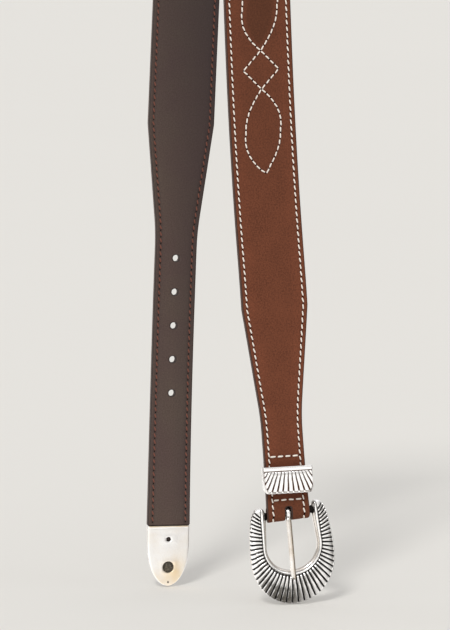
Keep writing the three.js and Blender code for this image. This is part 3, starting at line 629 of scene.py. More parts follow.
def set_inputs(tree, node, values):
    """Input values of a node. A value that is a socket is linked, and a colour gets an alpha of 1."""
    for key, value in values.items():
        socket = node.inputs[key]
        if isinstance(value, bpy.types.NodeSocket):
            tree.links.new(value, socket)
        elif socket.type == "RGBA":
            socket.default_value = (*value[:3], 1)
        else:
            socket.default_value = value


def put(tree, kind, values, **settings):
    """A new node with its settings and input values. Returns its output sockets."""
    node = tree.nodes.new(kind)
    for key, value in settings.items():
        setattr(node, key, value)
    set_inputs(tree, node, values)
    return node.outputs


def math_node(tree, operation, *values):
    return put(tree, "ShaderNodeMath", dict(enumerate(values)), operation=operation)[0]


def blend_colours(tree, share, first, second):
    """First colour at share 0, second at 1."""
    return put(tree, "ShaderNodeMix", {0: share, 6: first, 7: second}, data_type="RGBA")[2]


def ramp(tree, value, low, high, start=0.0, end=1.0):
    """Straight from start at low to end at high, and level beyond them."""
    values = {"Value": value, "From Min": low, "From Max": high, "To Min": start, "To Max": end}
    return put(tree, "ShaderNodeMapRange", values)[0]


def noise(tree, vector, scale, detail=3.0, roughness=0.55):
    values = {"Vector": vector, "Scale": scale, "Detail": detail, "Roughness": roughness}
    return put(tree, "ShaderNodeTexNoise", values)[0]


def field_value(tree, name):
    return put(tree, "ShaderNodeAttribute", {}, attribute_name=name)["Fac"]


def bump_normal(tree, height, strength, distance=0.0002):
    return put(tree, "ShaderNodeBump", {"Height": height, "Strength": strength, "Distance": distance})[0]


def glossy_ray(tree):
    return put(tree, "ShaderNodeLightPath", {})["Is Glossy Ray"]


def new_group(name, inputs, outputs):
    """Empty shader node group with a vector and some numbers as inputs, and numbers as outputs. Returns the
    tree, its input sockets and the node that takes its outputs."""
    tree = bpy.data.node_groups.new(name, "ShaderNodeTree")
    tree.interface.new_socket(name="Vector", in_out="INPUT", socket_type="NodeSocketVector")
    for socket, default in inputs.items():
        made = tree.interface.new_socket(name=socket, in_out="INPUT", socket_type="NodeSocketFloat")
        made.default_value = default
    for socket in outputs:
        tree.interface.new_socket(name=socket, in_out="OUTPUT", socket_type="NodeSocketFloat")
    return tree, tree.nodes.new("NodeGroupInput").outputs, tree.nodes.new("NodeGroupOutput")


def group_node(tree, name, values):
    return put(tree, "ShaderNodeGroup", values, node_tree=bpy.data.node_groups[name])


def new_material(name):
    """Empty material. Returns it with its tree, its Principled shader and its texture coordinates."""
    material = bpy.data.materials.new(name)
    material.use_nodes = True
    tree = material.node_tree
    return material, tree, tree.nodes["Principled BSDF"], put(tree, "ShaderNodeTexCoord", {})


def mottle_group():
    """Broad patches and fine specks of a hide, and the height of its surface."""
    scales = {"Patch scale": 3.0, "Speck scale": 90.0}
    tree, source, target = new_group("hide_mottle", scales, ("Patches", "Specks", "Height"))
    patches = noise(tree, source["Vector"], source["Patch scale"], 4.0, 0.6)
    specks = noise(tree, source["Vector"], source["Speck scale"], 4.0, 0.7)
    pores = math_node(tree, "MULTIPLY", source["Speck scale"], 4.0)
    grain = noise(tree, source["Vector"], pores, 2.0, 0.6)
    set_inputs(tree, target, {
        "Patches": ramp(tree, patches, 0.35, 0.65),
        "Specks": ramp(tree, specks, 0.38, 0.62),
        "Height": math_node(tree, "MULTIPLY_ADD", specks, 0.6, math_node(tree, "MULTIPLY", grain, 0.4)),
    })


def edge_group():
    """Mask of the paint on a cut edge, from the distance to it: 1 on the edge, with an uneven border."""
    tree, source, target = new_group("painted_edge", {"Inset": 0.0, "Width": 0.4}, ["Paint"])
    wobble = noise(tree, source["Vector"], 60.0, 2.0)
    inset = math_node(tree, "MULTIPLY_ADD", wobble, -0.25, source["Inset"])
    inner = math_node(tree, "MULTIPLY", source["Width"], 0.6)
    bare = ramp(tree, inset, inner, source["Width"])
    set_inputs(tree, target, {"Paint": math_node(tree, "SUBTRACT", 1.0, bare)})


def silver_group():
    """Worn silver: the oxide in its hollows and a painted shade laid in the same colour, a warm tint from
    patches and stains with a painted shade laid in it too, its roughness and its height.
    """
    inputs = {"Hollows and shade": 0.0, "Roughness": 0.2, "Warm patches": 0.2, "Stain and shade": 0.0}
    tree, source, target = new_group("worn_silver_and_shade", inputs, ("Oxide and shade", "Warmth and shade", "Roughness", "Height"))
    breakup = noise(tree, source["Vector"], 900.0, 4.0, 0.65)
    clouds = noise(tree, source["Vector"], 90.0, 3.0, 0.6)
    ragged = math_node(tree, "ADD", source["Hollows and shade"], math_node(tree, "MULTIPLY_ADD", breakup, 0.3, -0.15))
    stain = math_node(tree, "MULTIPLY", ramp(tree, clouds, 0.2, 0.7, 0.6, 1.3), source["Stain and shade"])
    patches = ramp(tree, clouds, 0.4, 0.75)
    worn = ramp(tree, breakup, 0.3, 0.7)
    set_inputs(tree, target, {
        "Oxide and shade": ramp(tree, ragged, 0.3, 0.7),
        "Warmth and shade": math_node(tree, "MULTIPLY_ADD", patches, source["Warm patches"], stain),
        "Roughness": math_node(tree, "MULTIPLY_ADD", worn, 0.06, source["Roughness"]),
        "Height": math_node(tree, "MULTIPLY_ADD", clouds, 2.0, breakup),
    })


# Settings


def colour_property(name, description, default):
    return FloatVectorProperty(
        name=name, description=description, subtype="COLOR", size=3, min=0, max=1, default=default
    )


def length_property(name, description, default):
    return FloatProperty(
        name=name, description=description, default=default, min=0, unit="LENGTH", precision=5
    )


def share_property(name, description, default):
    return FloatProperty(name=name, description=description, default=default, min=0, max=1)


def angle_property(name, description, degrees):
    return FloatProperty(name=name, description=description, default=np.radians(degrees), unit="ROTATION")


def strength_property(name, description, default):
    return FloatProperty(name=name, description=description, default=default, min=0)


class BeltLeather(bpy.types.PropertyGroup):
    """Sizes and colours of the two leather layers."""

    wide: length_property("Wide", "Width of the belt between its tapers", 0.039)
    narrow: length_property("Narrow", "Width of the belt at its ends", 0.024)
    suede_thickness: length_property("Suede thickness", "Thickness of the outer layer", 0.0017)
    eased: length_property("Eased edge", "Radius of the eased edges", 0.00045)
    suede: colour_property("Suede", "Colour of the suede", tone(128, 73, 51))
    suede_dark: colour_property("Suede shade", "Colour of its darker patches", tone(89, 49, 34))
    suede_inside: colour_property("Lens shade", "Colour of the suede inside the lenses", tone(60, 38, 25))
    # Pressed leather along the sewing, with a painted shade in its furrows
    suede_pressed: colour_property("Suede seam", "Colour of the suede along the sewing", tone(70, 36, 24))
    sheen: colour_property("Sheen", "Colour of the suede's sheen", tone(190, 130, 100))
    lining: colour_property("Lining", "Colour of the lining", tone(90, 75, 66))
    lining_tint: colour_property("Lining tint", "Colour of its purplish patches", tone(86, 67, 63))
    lining_specks: colour_property("Lining specks", "Colour of its specks", tone(58, 46, 42))
    # Painted shade: the lining's colour towards the fold and to one side
    lining_unworn: colour_property("Lining shade", "Colour where it is unworn", tone(48, 38, 40))
    # Pressed leather along the sewing, with a painted shade in its furrows
    lining_pressed: colour_property("Lining seam", "Colour along the sewing", tone(46, 32, 29))
    paint: colour_property("Edge paint", "Colour of the painted edges", tone(50, 38, 34))


class BeltStitching(bpy.types.PropertyGroup):
    """Sizes and colours of the sewing."""

    pitch: length_property("Pitch", "Distance from stitch to stitch", 0.00385)
    length: length_property("Stitch", "Length of a stitch, with its ends in the needle holes", 0.0033)
    thread: length_property("Thread", "Width of the thread on the front", 0.0009)
    back_thread: length_property("Back thread", "Width of the thread on the lining", 0.001)
    inset: length_property("Inset", "Distance of the border rows from the edge", 0.0027)
    front: colour_property("Front thread", "Colour of the thread on the suede", tone(255, 248, 238))
    back: colour_property("Lining thread", "Colour of the thread on the lining", tone(126, 76, 62))
    # Painted shade in the needle holes
    hole: colour_property("Needle hole", "Colour in the needle holes", tone(26, 13, 9))


class BeltSilver(bpy.types.PropertyGroup):
    """Colours and finish of the metal pieces."""

    silver: colour_property("Silver", "Colour of the polished metal", tone(249, 248, 247))
    # Also the tint of the painted shade on the bead's inner slope and down the tongue's pin
    warm: colour_property("Warm silver", "Colour of the metal's warmer patches", tone(198, 184, 168))
    gold: colour_property("Tarnish", "Colour of the golden stains on the tip", tone(234, 212, 176))
    # Also the colour of the painted shade on the bar's ends and on the bead's inner slope
    oxide_and_shade: colour_property("Oxide and shade", "Colour in the hollows of the buckle", tone(16, 13, 11))
    keeper_oxide: colour_property("Keeper oxide", "Colour in the keeper's hollows", tone(84, 50, 31))
    polish: share_property("Polish", "Roughness of the polished metal", 0.2)
    satin: share_property("Satin", "Roughness of the tip's back", 0.38)


class BeltStudio(bpy.types.PropertyGroup):
    """Camera, light and floor."""

    azimuth: angle_property("Azimuth", "Camera's turn about the belt", -15)
    elevation: angle_property("Elevation", "Camera's height angle", 6.5)
    lens: FloatProperty(name="Lens", description="Focal length in millimetres", default=314.26, min=1)
    floor: colour_property("Floor", "Colour of the floor", tone(227, 225, 221))
    # Painted reflection: the dark patch that mirror rays see on the floor close to the belt
    shade: colour_property("Floor shade", "Colour that the metal sees under the belt", tone(90, 86, 80))
    horizon: colour_property("Horizon", "Colour of the surroundings low down", tone(200, 198, 195))
    key: strength_property("Key light", "Strength of the soft light from the left", 1.3)
    key_colour: colour_property("Key colour", "Colour of the soft light from the left", tone(255, 253, 249))
    softness: angle_property("Softness", "Angle that the soft light fills", 12)
    sky: strength_property("Fill light", "Strength of the light from all round", 0.83)


GROUPS = {
    "belt_leather": BeltLeather,
    "belt_stitching": BeltStitching,
    "belt_silver": BeltSilver,
    "belt_studio": BeltStudio,
}


# Materials


def hide_nodes(tree, uv, patch_scale, speck_scale):
    """Mottle and edge paint of a leather layer."""
    scales = {"Patch scale": patch_scale, "Speck scale": speck_scale}
    border = {"Inset": field_value(tree, "inset"), "Width": PAINT_WIDTH}
    mottle = group_node(tree, "hide_mottle", {"Vector": uv, **scales})
    return mottle, group_node(tree, "painted_edge", {"Vector": uv, **border})["Paint"]


def field_share(tree, name, share):
    return math_node(tree, "MULTIPLY", field_value(tree, name), share)


def suede_material():
    """Napped suede: faint mottling, paler beside the sewing, darker inside the lenses, painted edge."""
    colours = bpy.context.scene.belt_leather
    material, tree, shader, places = new_material("suede")
    mottle, paint = hide_nodes(tree, places["UV"], patch_scale=7.0, speck_scale=105.0)
    share = math_node(tree, "MULTIPLY_ADD", mottle["Patches"], SUEDE["patches"], SUEDE["least"])
    share = math_node(tree, "MULTIPLY_ADD", mottle["Specks"], SUEDE["specks"], share)
    base = blend_colours(tree, share, colours.suede_dark, colours.suede)
    # The suede is darker towards the fold, blended towards the lens colour
    unworn = field_share(tree, "unworn", SUEDE["unworn"])
    inside = math_node(tree, "MULTIPLY_ADD", field_value(tree, "inside"), SUEDE["inside"], unworn)
    base = blend_colours(tree, inside, base, colours.suede_inside)
    # Darker along the sewing: pressed leather, and a painted shade in its furrows
    pressed = field_share(tree, "pressed", SUEDE["pressed"])
    base = blend_colours(tree, pressed, base, colours.suede_pressed)
    set_inputs(tree, shader, {
        "Base Color": blend_colours(tree, paint, base, colours.paint),
        "Roughness": ramp(tree, paint, 0.0, 1.0, 0.95, 0.5),
        "Normal": bump_normal(tree, mottle["Height"], 0.5),
        "Sheen Weight": 0.25,
        "Sheen Roughness": 0.6,
        "Sheen Tint": colours.sheen,
        "Specular IOR Level": 0.2,
    })
    return material


def lining_material():
    """Smooth dark lining leather with broad purplish and greenish patches, a painted edge, and a painted
    shade that darkens it towards the fold and to one side.
    """
    colours = bpy.context.scene.belt_leather
    material, tree, shader, places = new_material("lining_leather")
    mottle, paint = hide_nodes(tree, places["UV"], patch_scale=2.2, speck_scale=120.0)
    base = blend_colours(tree, mottle["Patches"], colours.lining_tint, colours.lining)
    specks = math_node(tree, "MULTIPLY", mottle["Specks"], LINING["specks"])
    base = blend_colours(tree, specks, base, colours.lining_specks)
    # Painted shade on the lining towards the fold and to one side, then the colour along the sewing
    for name in ("unworn", "pressed"):
        share = field_share(tree, name, LINING[name])
        base = blend_colours(tree, share, base, getattr(colours, f"lining_{name}"))
    set_inputs(tree, shader, {
        "Base Color": blend_colours(tree, paint, base, colours.paint),
        "Roughness": ramp(tree, mottle["Specks"], 0.0, 1.0, 0.5, 0.62),
        "Normal": bump_normal(tree, mottle["Height"], 0.25),
        "Specular IOR Level": 0.35,
    })
    return material


def thread_material(name, colour):
    """Twisted thread: slanted ridges along each stitch, a little uneven in colour."""
    material, tree, shader, places = new_material(name)
    values = {"Vector": places["UV"], "Scale": 1.6, "Distortion": 0.4, "Detail": 1.0}
    twist = put(tree, "ShaderNodeTexWave", values, wave_type="BANDS", bands_direction="DIAGONAL")["Fac"]
    fuzz = noise(tree, places["Object"], 700.0, 2.0)
    share = math_node(tree, "MULTIPLY_ADD", fuzz, 0.5, math_node(tree, "MULTIPLY", twist, 0.3))
    set_inputs(tree, shader, {
        "Base Color": blend_colours(tree, share, colour, [THREAD_DARKER * x for x in colour]),
        "Roughness": ramp(tree, fuzz, 0.0, 1.0, 0.6, 0.8),
        "Normal": bump_normal(tree, twist, 0.6, 0.0001),
        "Specular IOR Level": 0.3,
    })
    return material


def needle_shade_material():
    """Painted shade in a needle hole: a dark leather colour, a little uneven."""
    colour = bpy.context.scene.belt_stitching.hole
    material, tree, shader, places = new_material("needle_hole_shades")
    fuzz = noise(tree, places["Object"], 1200.0, 2.0)
    set_inputs(tree, shader, {
        "Base Color": blend_colours(tree, fuzz, colour, [0.5 * x for x in colour]),
        "Roughness": ramp(tree, fuzz, 0.0, 1.0, 0.85, 1.0),
        "Specular IOR Level": 0.1,
    })
    return material


def silver_material(name, oxide_and_shade, stain_and_shade_colour, roughness, warm, grain):
    """Silver plate: oxide in the hollows, warm patches, stains, a painted shade laid in the oxide colour and
    in the stain colour where the fields ask for it, and fine wear in its gloss and surface.
    """
    material, tree, shader, places = new_material(name)
    worn = group_node(tree, "worn_silver_and_shade", {
        "Vector": places["Object"],
        "Hollows and shade": field_value(tree, "hollow"),
        "Roughness": roughness,
        "Warm patches": warm,
        "Stain and shade": field_value(tree, "stain"),
    })
    base = blend_colours(tree, worn["Warmth and shade"], bpy.context.scene.belt_silver.silver, stain_and_shade_colour)
    set_inputs(tree, shader, {
        "Base Color": blend_colours(tree, worn["Oxide and shade"], base, oxide_and_shade),
        "Metallic": ramp(tree, worn["Oxide and shade"], 0.0, 1.0, 1.0, 0.3),
        "Roughness": math_node(tree, "MULTIPLY_ADD", worn["Oxide and shade"], 0.45, worn["Roughness"]),
        "Normal": bump_normal(tree, worn["Height"], grain),
        "Specular IOR Level": 0.2,
    })
    return material


def floor_material():
    """Pale matt floor, very slightly uneven. For mirror rays it is a painted reflection: it glows as a white
    table, with a painted dark patch close to the belt and less glow on the right.
    """
    studio = bpy.context.scene.belt_studio
    material, tree, shader, places = new_material("floor")
    clouds = noise(tree, places["Object"], 1.5, 2.0)
    base = blend_colours(tree, clouds, studio.floor, [FLOOR_DARKER * x for x in studio.floor])
    glossy = glossy_ray(tree)
    stretch = {0: places["Object"], 1: (1, DARK_FLOOR_STRETCH, 1)}
    squeezed = put(tree, "ShaderNodeVectorMath", stretch, operation="MULTIPLY")[0]
    apart = put(tree, "ShaderNodeVectorMath", {0: squeezed, 1: DARK_FLOOR}, operation="DISTANCE")["Value"]
    axes = put(tree, "ShaderNodeSeparateXYZ", {0: places["Object"]})
    depth = math_node(tree, "ABSOLUTE", axes["Y"])
    aside = math_node(tree, "MULTIPLY_ADD", depth, -DARK_SIDE_SLOPE, axes["X"])
    clear = ramp(tree, aside, *DARK_SIDE_REACH, 1.0, 0.1)
    lit = math_node(tree, "MULTIPLY", ramp(tree, apart, *DARK_FLOOR_REACH), clear)
    # Painted reflection: mirror rays see the floor glowing white, and the shade colour close to the belt and
    # to the right
    shade = math_node(tree, "MULTIPLY", glossy, math_node(tree, "SUBTRACT", 1.0, lit))
    glow = math_node(tree, "MULTIPLY", lit, FLOOR_GLOW)
    set_inputs(tree, shader, {
        "Base Color": blend_colours(tree, shade, base, studio.shade),
        "Emission Color": (1, 1, 1),
        "Emission Strength": math_node(tree, "MULTIPLY", glossy, glow),
        "Roughness": 0.9,
        "Specular IOR Level": 0.1,
    })
    return material


# Stitches


def spread(station, offset, pitch):
    """Stitches set out evenly by length along a line of points on the belt. Each gives its middle's station
    and offset, its direction along and across the belt, and the length of line that it has."""
    apart = np.hypot(np.diff(station), np.diff(offset))
    reached = np.concatenate([[0], np.cumsum(apart)])
    count = max(int(round(reached[-1] / pitch)), 1)
    middles = (np.arange(count) + 0.5) / count * reached[-1]
    step = reached[-1] / count
    before, at, after = (
        np.stack([np.interp(middles + shift * step, reached, line) for line in (station, offset)], -1)
        for shift in (-STITCH_DIRECTION_REACH, 0, STITCH_DIRECTION_REACH)
    )
    direction = after - before
    direction /= np.linalg.norm(direction, axis=1, keepdims=True)
    return np.concatenate([at, direction, np.full((count, 1), step)], 1)


def border_rows(start, end, inset, pitch):
    """Stitches of the two rows that follow the belt's edges."""
    station = np.linspace(start, end, 900)
    offset = half_width(station) - buckle_flare(station) - inset
    rows = [spread(station, side * offset, pitch) for side in (-1, 1)]
    return np.concatenate(rows)


def pattern_rows():
    """Stitches of the lenses and diamonds, set out from crossing to crossing and corner to corner. The two
    sides of the first and of the last lens are sewn as one line round the pattern's end."""
    rows = []
    for index in range(LENS_COUNT):
        start = PATTERN_START + index * (LENS_LENGTH + DIAMOND_LENGTH)
        corner = start + LENS_LENGTH + DIAMOND_LENGTH / 2
        first, last = index == 0, index == LENS_COUNT - 1
        stretches = [(start + END_SHORT * first, start + LENS_LENGTH - END_SHORT * last)]
        if not last:
            stretches += [(start + LENS_LENGTH, corner), (corner, corner + DIAMOND_LENGTH / 2)]
        for low, high in stretches:
            station = np.linspace(low + 1e-6, high - 1e-6, 90)
            sides = [pattern_middle(station) + side * pattern_offset(station, side) for side in (-1, 1)]
            if high - low > DIAMOND_LENGTH and (first or last):
                turn = slice(None, None, -1 if first else 1)
                there_and_back = np.concatenate([station[turn], station[turn][::-1]])
                line = np.concatenate([sides[0][turn], sides[1][turn][::-1]])
                rows.append(spread(there_and_back, line, PATTERN_PITCH))
            else:
                rows += [spread(station, line, PATTERN_PITCH) for line in sides]
    return np.concatenate(rows)


def cross_rows(inset, pitch):
    """Stitches of the two rows across the belt that hold the folded-back end."""
    rows = []
    for station in CROSS_ROWS:
        reach = half_width(station) - buckle_flare(station) - inset - CROSS_SHORTER
        offset = np.array([-1, 1]) * reach - CROSS_ASIDE
        rows.append(spread(station - CROSS_SKEW * offset, offset, pitch * CROSS_LONGER))
    return np.concatenate(rows)


def stitch_grid(stitches, shape):
    """Places t from -1 to 1 along each closed pod of a row of stitches, angles round it, and the columns of
    the stitches' table, shaped to be combined with both."""
    t = np.sin(np.linspace(-shape["turn"], shape["turn"], shape["rings"]) * PI / 180)[None, :, None]
    angle = round_angles(shape["sides"])[None, None, :]
    return t, angle, [stitches[:, None, None, column] for column in range(stitches.shape[1])]


def pods(row, thread):
    """Thread of each stitch as a closed pod. Along it t runs from -1 to 1: its width and thickness shrink
    by a share of t^4, and its middle dives by t^8 into the needle holes. The slant turns it across its
    row."""
    rng = np.random.default_rng(row["seed"])
    count = len(row["stitches"])
    t, angle, (middle, aside, along, across, step) = stitch_grid(row["stitches"], POD)
    turn = np.radians(row["slant"]) + rng.normal(0, np.radians(POD["wobble"]), (count, 1, 1))
    ds = along * np.cos(turn) + across * np.sin(turn)
    dv = across * np.cos(turn) - along * np.sin(turn)
    size = np.minimum(row["length"], step * POD["of_pitch"]) * rng.uniform(0.95, 1.05, (count, 1, 1))
    thin = 1 - POD["thinner"] * t**4
    half_height = thread["height"] / 2
    x = size / 2 * t
    y = row["width"] / 2 * thin * np.cos(angle)
    top = row["surface"] + thread["raised"]
    n = top - half_height - thread["dive"] * t**8 + half_height * thin * np.sin(angle)
    station = middle + x * ds - y * dv
    points = row["place"](station, aside + x * dv + y * ds, n + 0 * station)
    uv = np.stack(np.broadcast_arrays(x + 0 * angle, row["width"] * angle / 2 + 0 * x), -1)
    return part(points, tube_faces(count, POD["rings"], POD["sides"]), uv)


def needle_hole_shades(row):
    """Small hollows between the ends of neighbouring stitches, dark with a painted shade: ellipsoids, as
    wide and deep along t as the square root of 1 - t^2."""
    t, angle, (middle, aside, along, across, step) = stitch_grid(row["stitches"], NEEDLE)
    length, width = row["hole"]
    girth = np.sqrt(1 - t**2)
    x = step / 2 + length / 2 * t
    y = width / 2 * girth * np.cos(angle)
    n = row["surface"] - NEEDLE["sunk"] - NEEDLE["deep"] + NEEDLE["deep"] * girth * np.sin(angle)
    station = middle + x * along - y * across
    points = row["place"](station, aside + x * across + y * along, n + 0 * station)
    return part(points, tube_faces(len(row["stitches"]), NEEDLE["rings"], NEEDLE["sides"]), material=1)


def sewn(rows, thread):
    """Thread of several rows of stitches, and then their needle holes."""
    return [pods(row, thread) for row in rows] + [needle_hole_shades(row) for row in rows]


# Leather


def rows_clear_of(rows, centre, reach, extra):
    """Rows of a grid, with those near a hole exchanged for its own."""
    return np.concatenate([rows[np.abs(rows - centre) >= reach], centre + extra])


def leather_rows(start, first):
    """Rows of a leather layer's grid: the given ones at its start, then three to a stitch from the first,
    the rounded end's, and each size hole's own."""
    pitch = bpy.context.scene.belt_stitching.pitch / MM
    end = LEATHER_END - END_CORNER * (1 - np.sin(np.radians([0, 20, 40, 55, 70, 80, 90])))
    rows = np.concatenate([start, np.arange(first, LEATHER_END - 2, pitch / 3), end])
    around = np.array([-1.4, -0.7, -0.35, -0.12, 0])
    hole_rows = np.concatenate([around - HOLE_RADIUS, [-1.2, -0.4, 0.4, 1.2], HOLE_RADIUS - around[::-1]])
    for centre in HOLE_STATIONS:
        rows = rows_clear_of(rows, centre, HOLE_RADIUS + HOLE_ROWS_CLEAR, hole_rows)
    return np.sort(rows)


def edge_columns(half, insets, even_count):
    """Offsets of a grid's columns: some at fixed insets from each edge, the rest spread evenly between.
    Returns the offsets and each column's share across the even part, from -1 to 1."""
    share = np.linspace(-1, 1, even_count)
    inner = (half - EVEN_COLUMNS_INSET)[:, None]
    sides = half[:, None] - np.array(insets)[None, :]
    offsets = np.hstack([-sides, inner * share[None, :], sides[:, ::-1]])
    beyond = 1 + (EVEN_COLUMNS_INSET - np.array(insets)) / EVEN_COLUMNS_INSET
    shares = np.concatenate([-beyond, share, beyond[::-1]])
    return offsets, np.broadcast_to(shares, offsets.shape)


def with_holes(offset, along, share, from_edge, holes):
    """A grid drawn round its holes, each given by its centre, half the length of its straight sides and its
    radius. Returns the new places, the distance to the nearest edge and which cells are kept."""
    kept = np.ones((offset.shape[0] - 1, offset.shape[1] - 1), bool)
    for centre, straight, radius in holes:
        reach = radius + HOLE_REACH
        offset, along, square = opened(offset, along, share, HOLE_SHARE, centre, straight, radius, reach)
        kept &= ~left_out(square, radius)
        from_edge = np.minimum(from_edge, np.maximum(square - radius, 0))
    return offset, along, from_edge, kept


def seam_depth(path, offset, half, inset, width):
    """How far the sewing draws the leather down, from 0 to 1: bell curves of the distance to the border
    rows and to the pattern's line, and along the border rows a cosine from stitch to stitch."""
    pitch = bpy.context.scene.belt_stitching.pitch / MM
    border = bump(half - np.abs(offset) - inset, width)
    pull = mix(BORDER_PULL, 1, (1 + np.cos(2 * PI * path / pitch)) / 2)
    in_pattern = (path > PATTERN_START) & (path < PATTERN_END)
    aside = offset - pattern_middle(path)
    side = np.sign(aside)
    line = pattern_offset(path, side)
    slope = np.abs(pattern_offset(path + 0.5, side) - pattern_offset(path - 0.5, side))
    distance = np.abs(np.abs(aside) - line) / np.sqrt(1 + np.minimum(slope, 1.0) ** 2)
    pattern = np.where(in_pattern, bump(distance, PATTERN_FURROW), 0)
    return np.maximum(border * pull, pattern)


def fold_dark_share(along, fade):
    """Share of the middle stretch, towards the fold, where the leather is darker: a smooth step up and one
    down towards the tail.
    """
    into = smooth((along - fade["from"]) / fade["rise"])
    return into * smooth((LEATHER_END - fade["from"] - along) / fade["fall"])


def suede_shade(along, offset, from_side, inset):
    """How dark the suede is: in the lenses, away from the border rows, and in the stretch by the buckle."""
    place = (along - PATTERN_START) % (LENS_LENGTH + DIAMOND_LENGTH)
    in_lens = (along > PATTERN_START) & (along < PATTERN_END) & (place < LENS_LENGTH)
    past_first = smooth((along - PATTERN_START - LENS_LENGTH) / DIAMOND_LENGTH)
    inside = np.where(in_lens, LENS_SHADE["first"] + LENS_SHADE["later_more"] * past_first, 0.0)
    aside = offset - pattern_middle(along)
    within = pattern_offset(along, np.sign(aside)) - np.abs(aside)
    inside = inside * smooth(within / LENS_SHADE["fade"])
    pale = bump(from_side - inset - PALE_BAND["inset"], PALE_BAND["width"])
    inside = np.maximum(inside, PALE_BAND["beyond"] * (1 - pale))
    by_buckle = 1 - smooth((along - BUCKLE_SHADE["from"]) / BUCKLE_SHADE["length"])
    return np.maximum(inside, BUCKLE_SHADE["share"] * by_buckle)


def layer_part(top, bottom, kept, along, offset, fields):
    """Closed sheet of leather between its show face and its inner face, with a pair of values per field."""
    uv = np.stack([along, offset], -1) / 100
    return plate_part(top, bottom, fields, kept, np.stack([uv, uv]))


def suede_part():
    """The suede layer: front, loop round the bar and folded-back end in one closed sheet. Its show face is
    its thickness less an eased edge and the furrows of the sewing, with a low bell-curved roll by the edge.
    """
    belt = bpy.context.scene.belt_leather
    inset = bpy.context.scene.belt_stitching.inset / MM
    path = leather_rows(np.concatenate([
        -LOOP_ARC - np.array([38, 37.9, 37.75, 37.5]),
        -LOOP_ARC - np.arange(37, 4.6, -1.2),
        -LOOP_ARC - np.array([4.4, 4.3, 4.1, 3.6, 2.9, 1.9, 1.0]),
        np.linspace(-LOOP_ARC, 0, 15),
        np.array([1.0, 1.9, 2.9, 3.6, 4.1, 4.3, 4.4, 4.5, 4.8]),
    ]), 5.4)
    flap = np.maximum(-path - LOOP_ARC, 0)
    station = np.where(path >= 0, path, flap)
    half = half_width(station) - end_rounding(path) - FLAP_NARROWER * smooth(-path / LOOP_ARC)
    offset, share = edge_columns(half, SUEDE_INSETS, even_count=27)
    along = np.broadcast_to(path[:, None], offset.shape)
    half, flare, flap = half[:, None], buckle_flare(station)[:, None], flap[:, None]
    from_end = np.minimum(LEATHER_END - along, along + LOOP_ARC + FLAP_END)
    from_edge = np.minimum(half - np.abs(offset), from_end)
    holes = [(centre, 0, HOLE_RADIUS) for centre in HOLE_STATIONS]
    holes.append((-LOOP_ARC / 2, LOOP_ARC / 2 + SLOT_ROUND_CENTRE, SLOT_RADIUS))
    offset, along, from_edge, kept = with_holes(offset, along, share, from_edge, holes)
    from_side = half - np.abs(offset)
    cross = sum(bump(np.abs(np.where(along > 0, along, flap)) - row, CROSS_FURROW) for row in CROSS_ROWS)
    seams = seam_depth(along, offset, half - flare, inset, BORDER_FURROW)
    pressed = np.maximum(seams, cross * (from_side > inset))
    thickness = mix(LOOP_THICKNESS, belt.suede_thickness / MM, smooth(along / LOOP_RAMP))
    rise = EDGE_ROLL["height"] * bump(from_side - EDGE_ROLL["inset"], EDGE_ROLL["width"])
    height = thickness - eased(from_edge, belt.eased / MM) - SUEDE_SEAM_DEPTH * pressed + rise
    low = np.where(along > LINING_START, LAYER_CLEAR - LAYER_MEET, 0)
    low = low * smooth((along - LINING_START) / LINING_RAMP)
    low = low + eased(from_edge, INNER_EASE)
    inside = suede_shade(along, offset, from_side, inset)
    fold_darkness = fold_dark_share(along, SUEDE_FOLD_DARK)
    top, bottom = (suede_point(along, offset, out) for out in (height, low))
    return layer_part(top, bottom, kept, along, offset, {
        "inset": (from_edge, from_edge),
        "pressed": (pressed, 0),
        "inside": (inside, 0),
        "unworn": (fold_darkness, fold_darkness),
    })


def lining_part():
    """The lining layer, from above the bar to the tip, as one closed sheet: level but for its eased edge
    and the furrows of the sewing."""
    belt = bpy.context.scene.belt_leather
    station = leather_rows(LINING_START + np.array([0, 0.1, 0.3, 0.6]), LINING_START + 1.4)
    half = half_width(station) - end_rounding(station)
    offset, share = edge_columns(half, LINING_INSETS, even_count=19)
    along = np.broadcast_to(station[:, None], offset.shape)
    half = half[:, None]
    from_edge = np.minimum(half - np.abs(offset), np.minimum(LEATHER_END - along, along - LINING_START))
    holes = [(centre, 0, HOLE_RADIUS) for centre in HOLE_STATIONS]
    offset, along, from_edge, kept = with_holes(offset, along, share, from_edge, holes)
    pressed = seam_depth(along, offset, half, LINING_SEAM["inset"], LINING_SEAM["width"])
    height = -LINING_OUTSIDE + eased(from_edge, belt.eased / MM) + LINING_SEAM["depth"] * pressed
    # Painted shade: darker towards the fold, and darker to one side and lighter to the other
    fold_darkness = fold_dark_share(along, LINING_FOLD_DARK) + LINING_SIDE_SHADE * share
    top = belt_point(along, offset, height)
    bottom = belt_point(along, offset, -LAYER_MEET - LAYER_CLEAR - eased(from_edge, INNER_EASE))
    fields = {"inset": from_edge, "pressed": pressed, "unworn": fold_darkness}
    return layer_part(top, bottom, kept, along, offset, {name: (row, row) for name, row in fields.items()})


# Metal


def collar_point(turn, outward):
    """Point of the collar in the frame's plane: a quarter ellipse below, and a straight arm above."""
    wide = mix(COLLAR["inner"], COLLAR["groove"], outward)
    deep = mix(COLLAR["deep"], COLLAR["groove"], outward)
    angle = np.minimum(turn, 1) * PI / 2
    arm = np.clip(turn - 1, 0, 1)
    x = wide * np.sin(angle) + (mix(COLLAR_TOP["inner"], COLLAR_TOP["groove"], outward) - wide) * arm
    z = COLLAR["centre"] - deep * np.cos(angle) + (COLLAR_TOP["z"] - COLLAR["centre"]) * arm
    return np.stack([x, z], -1)


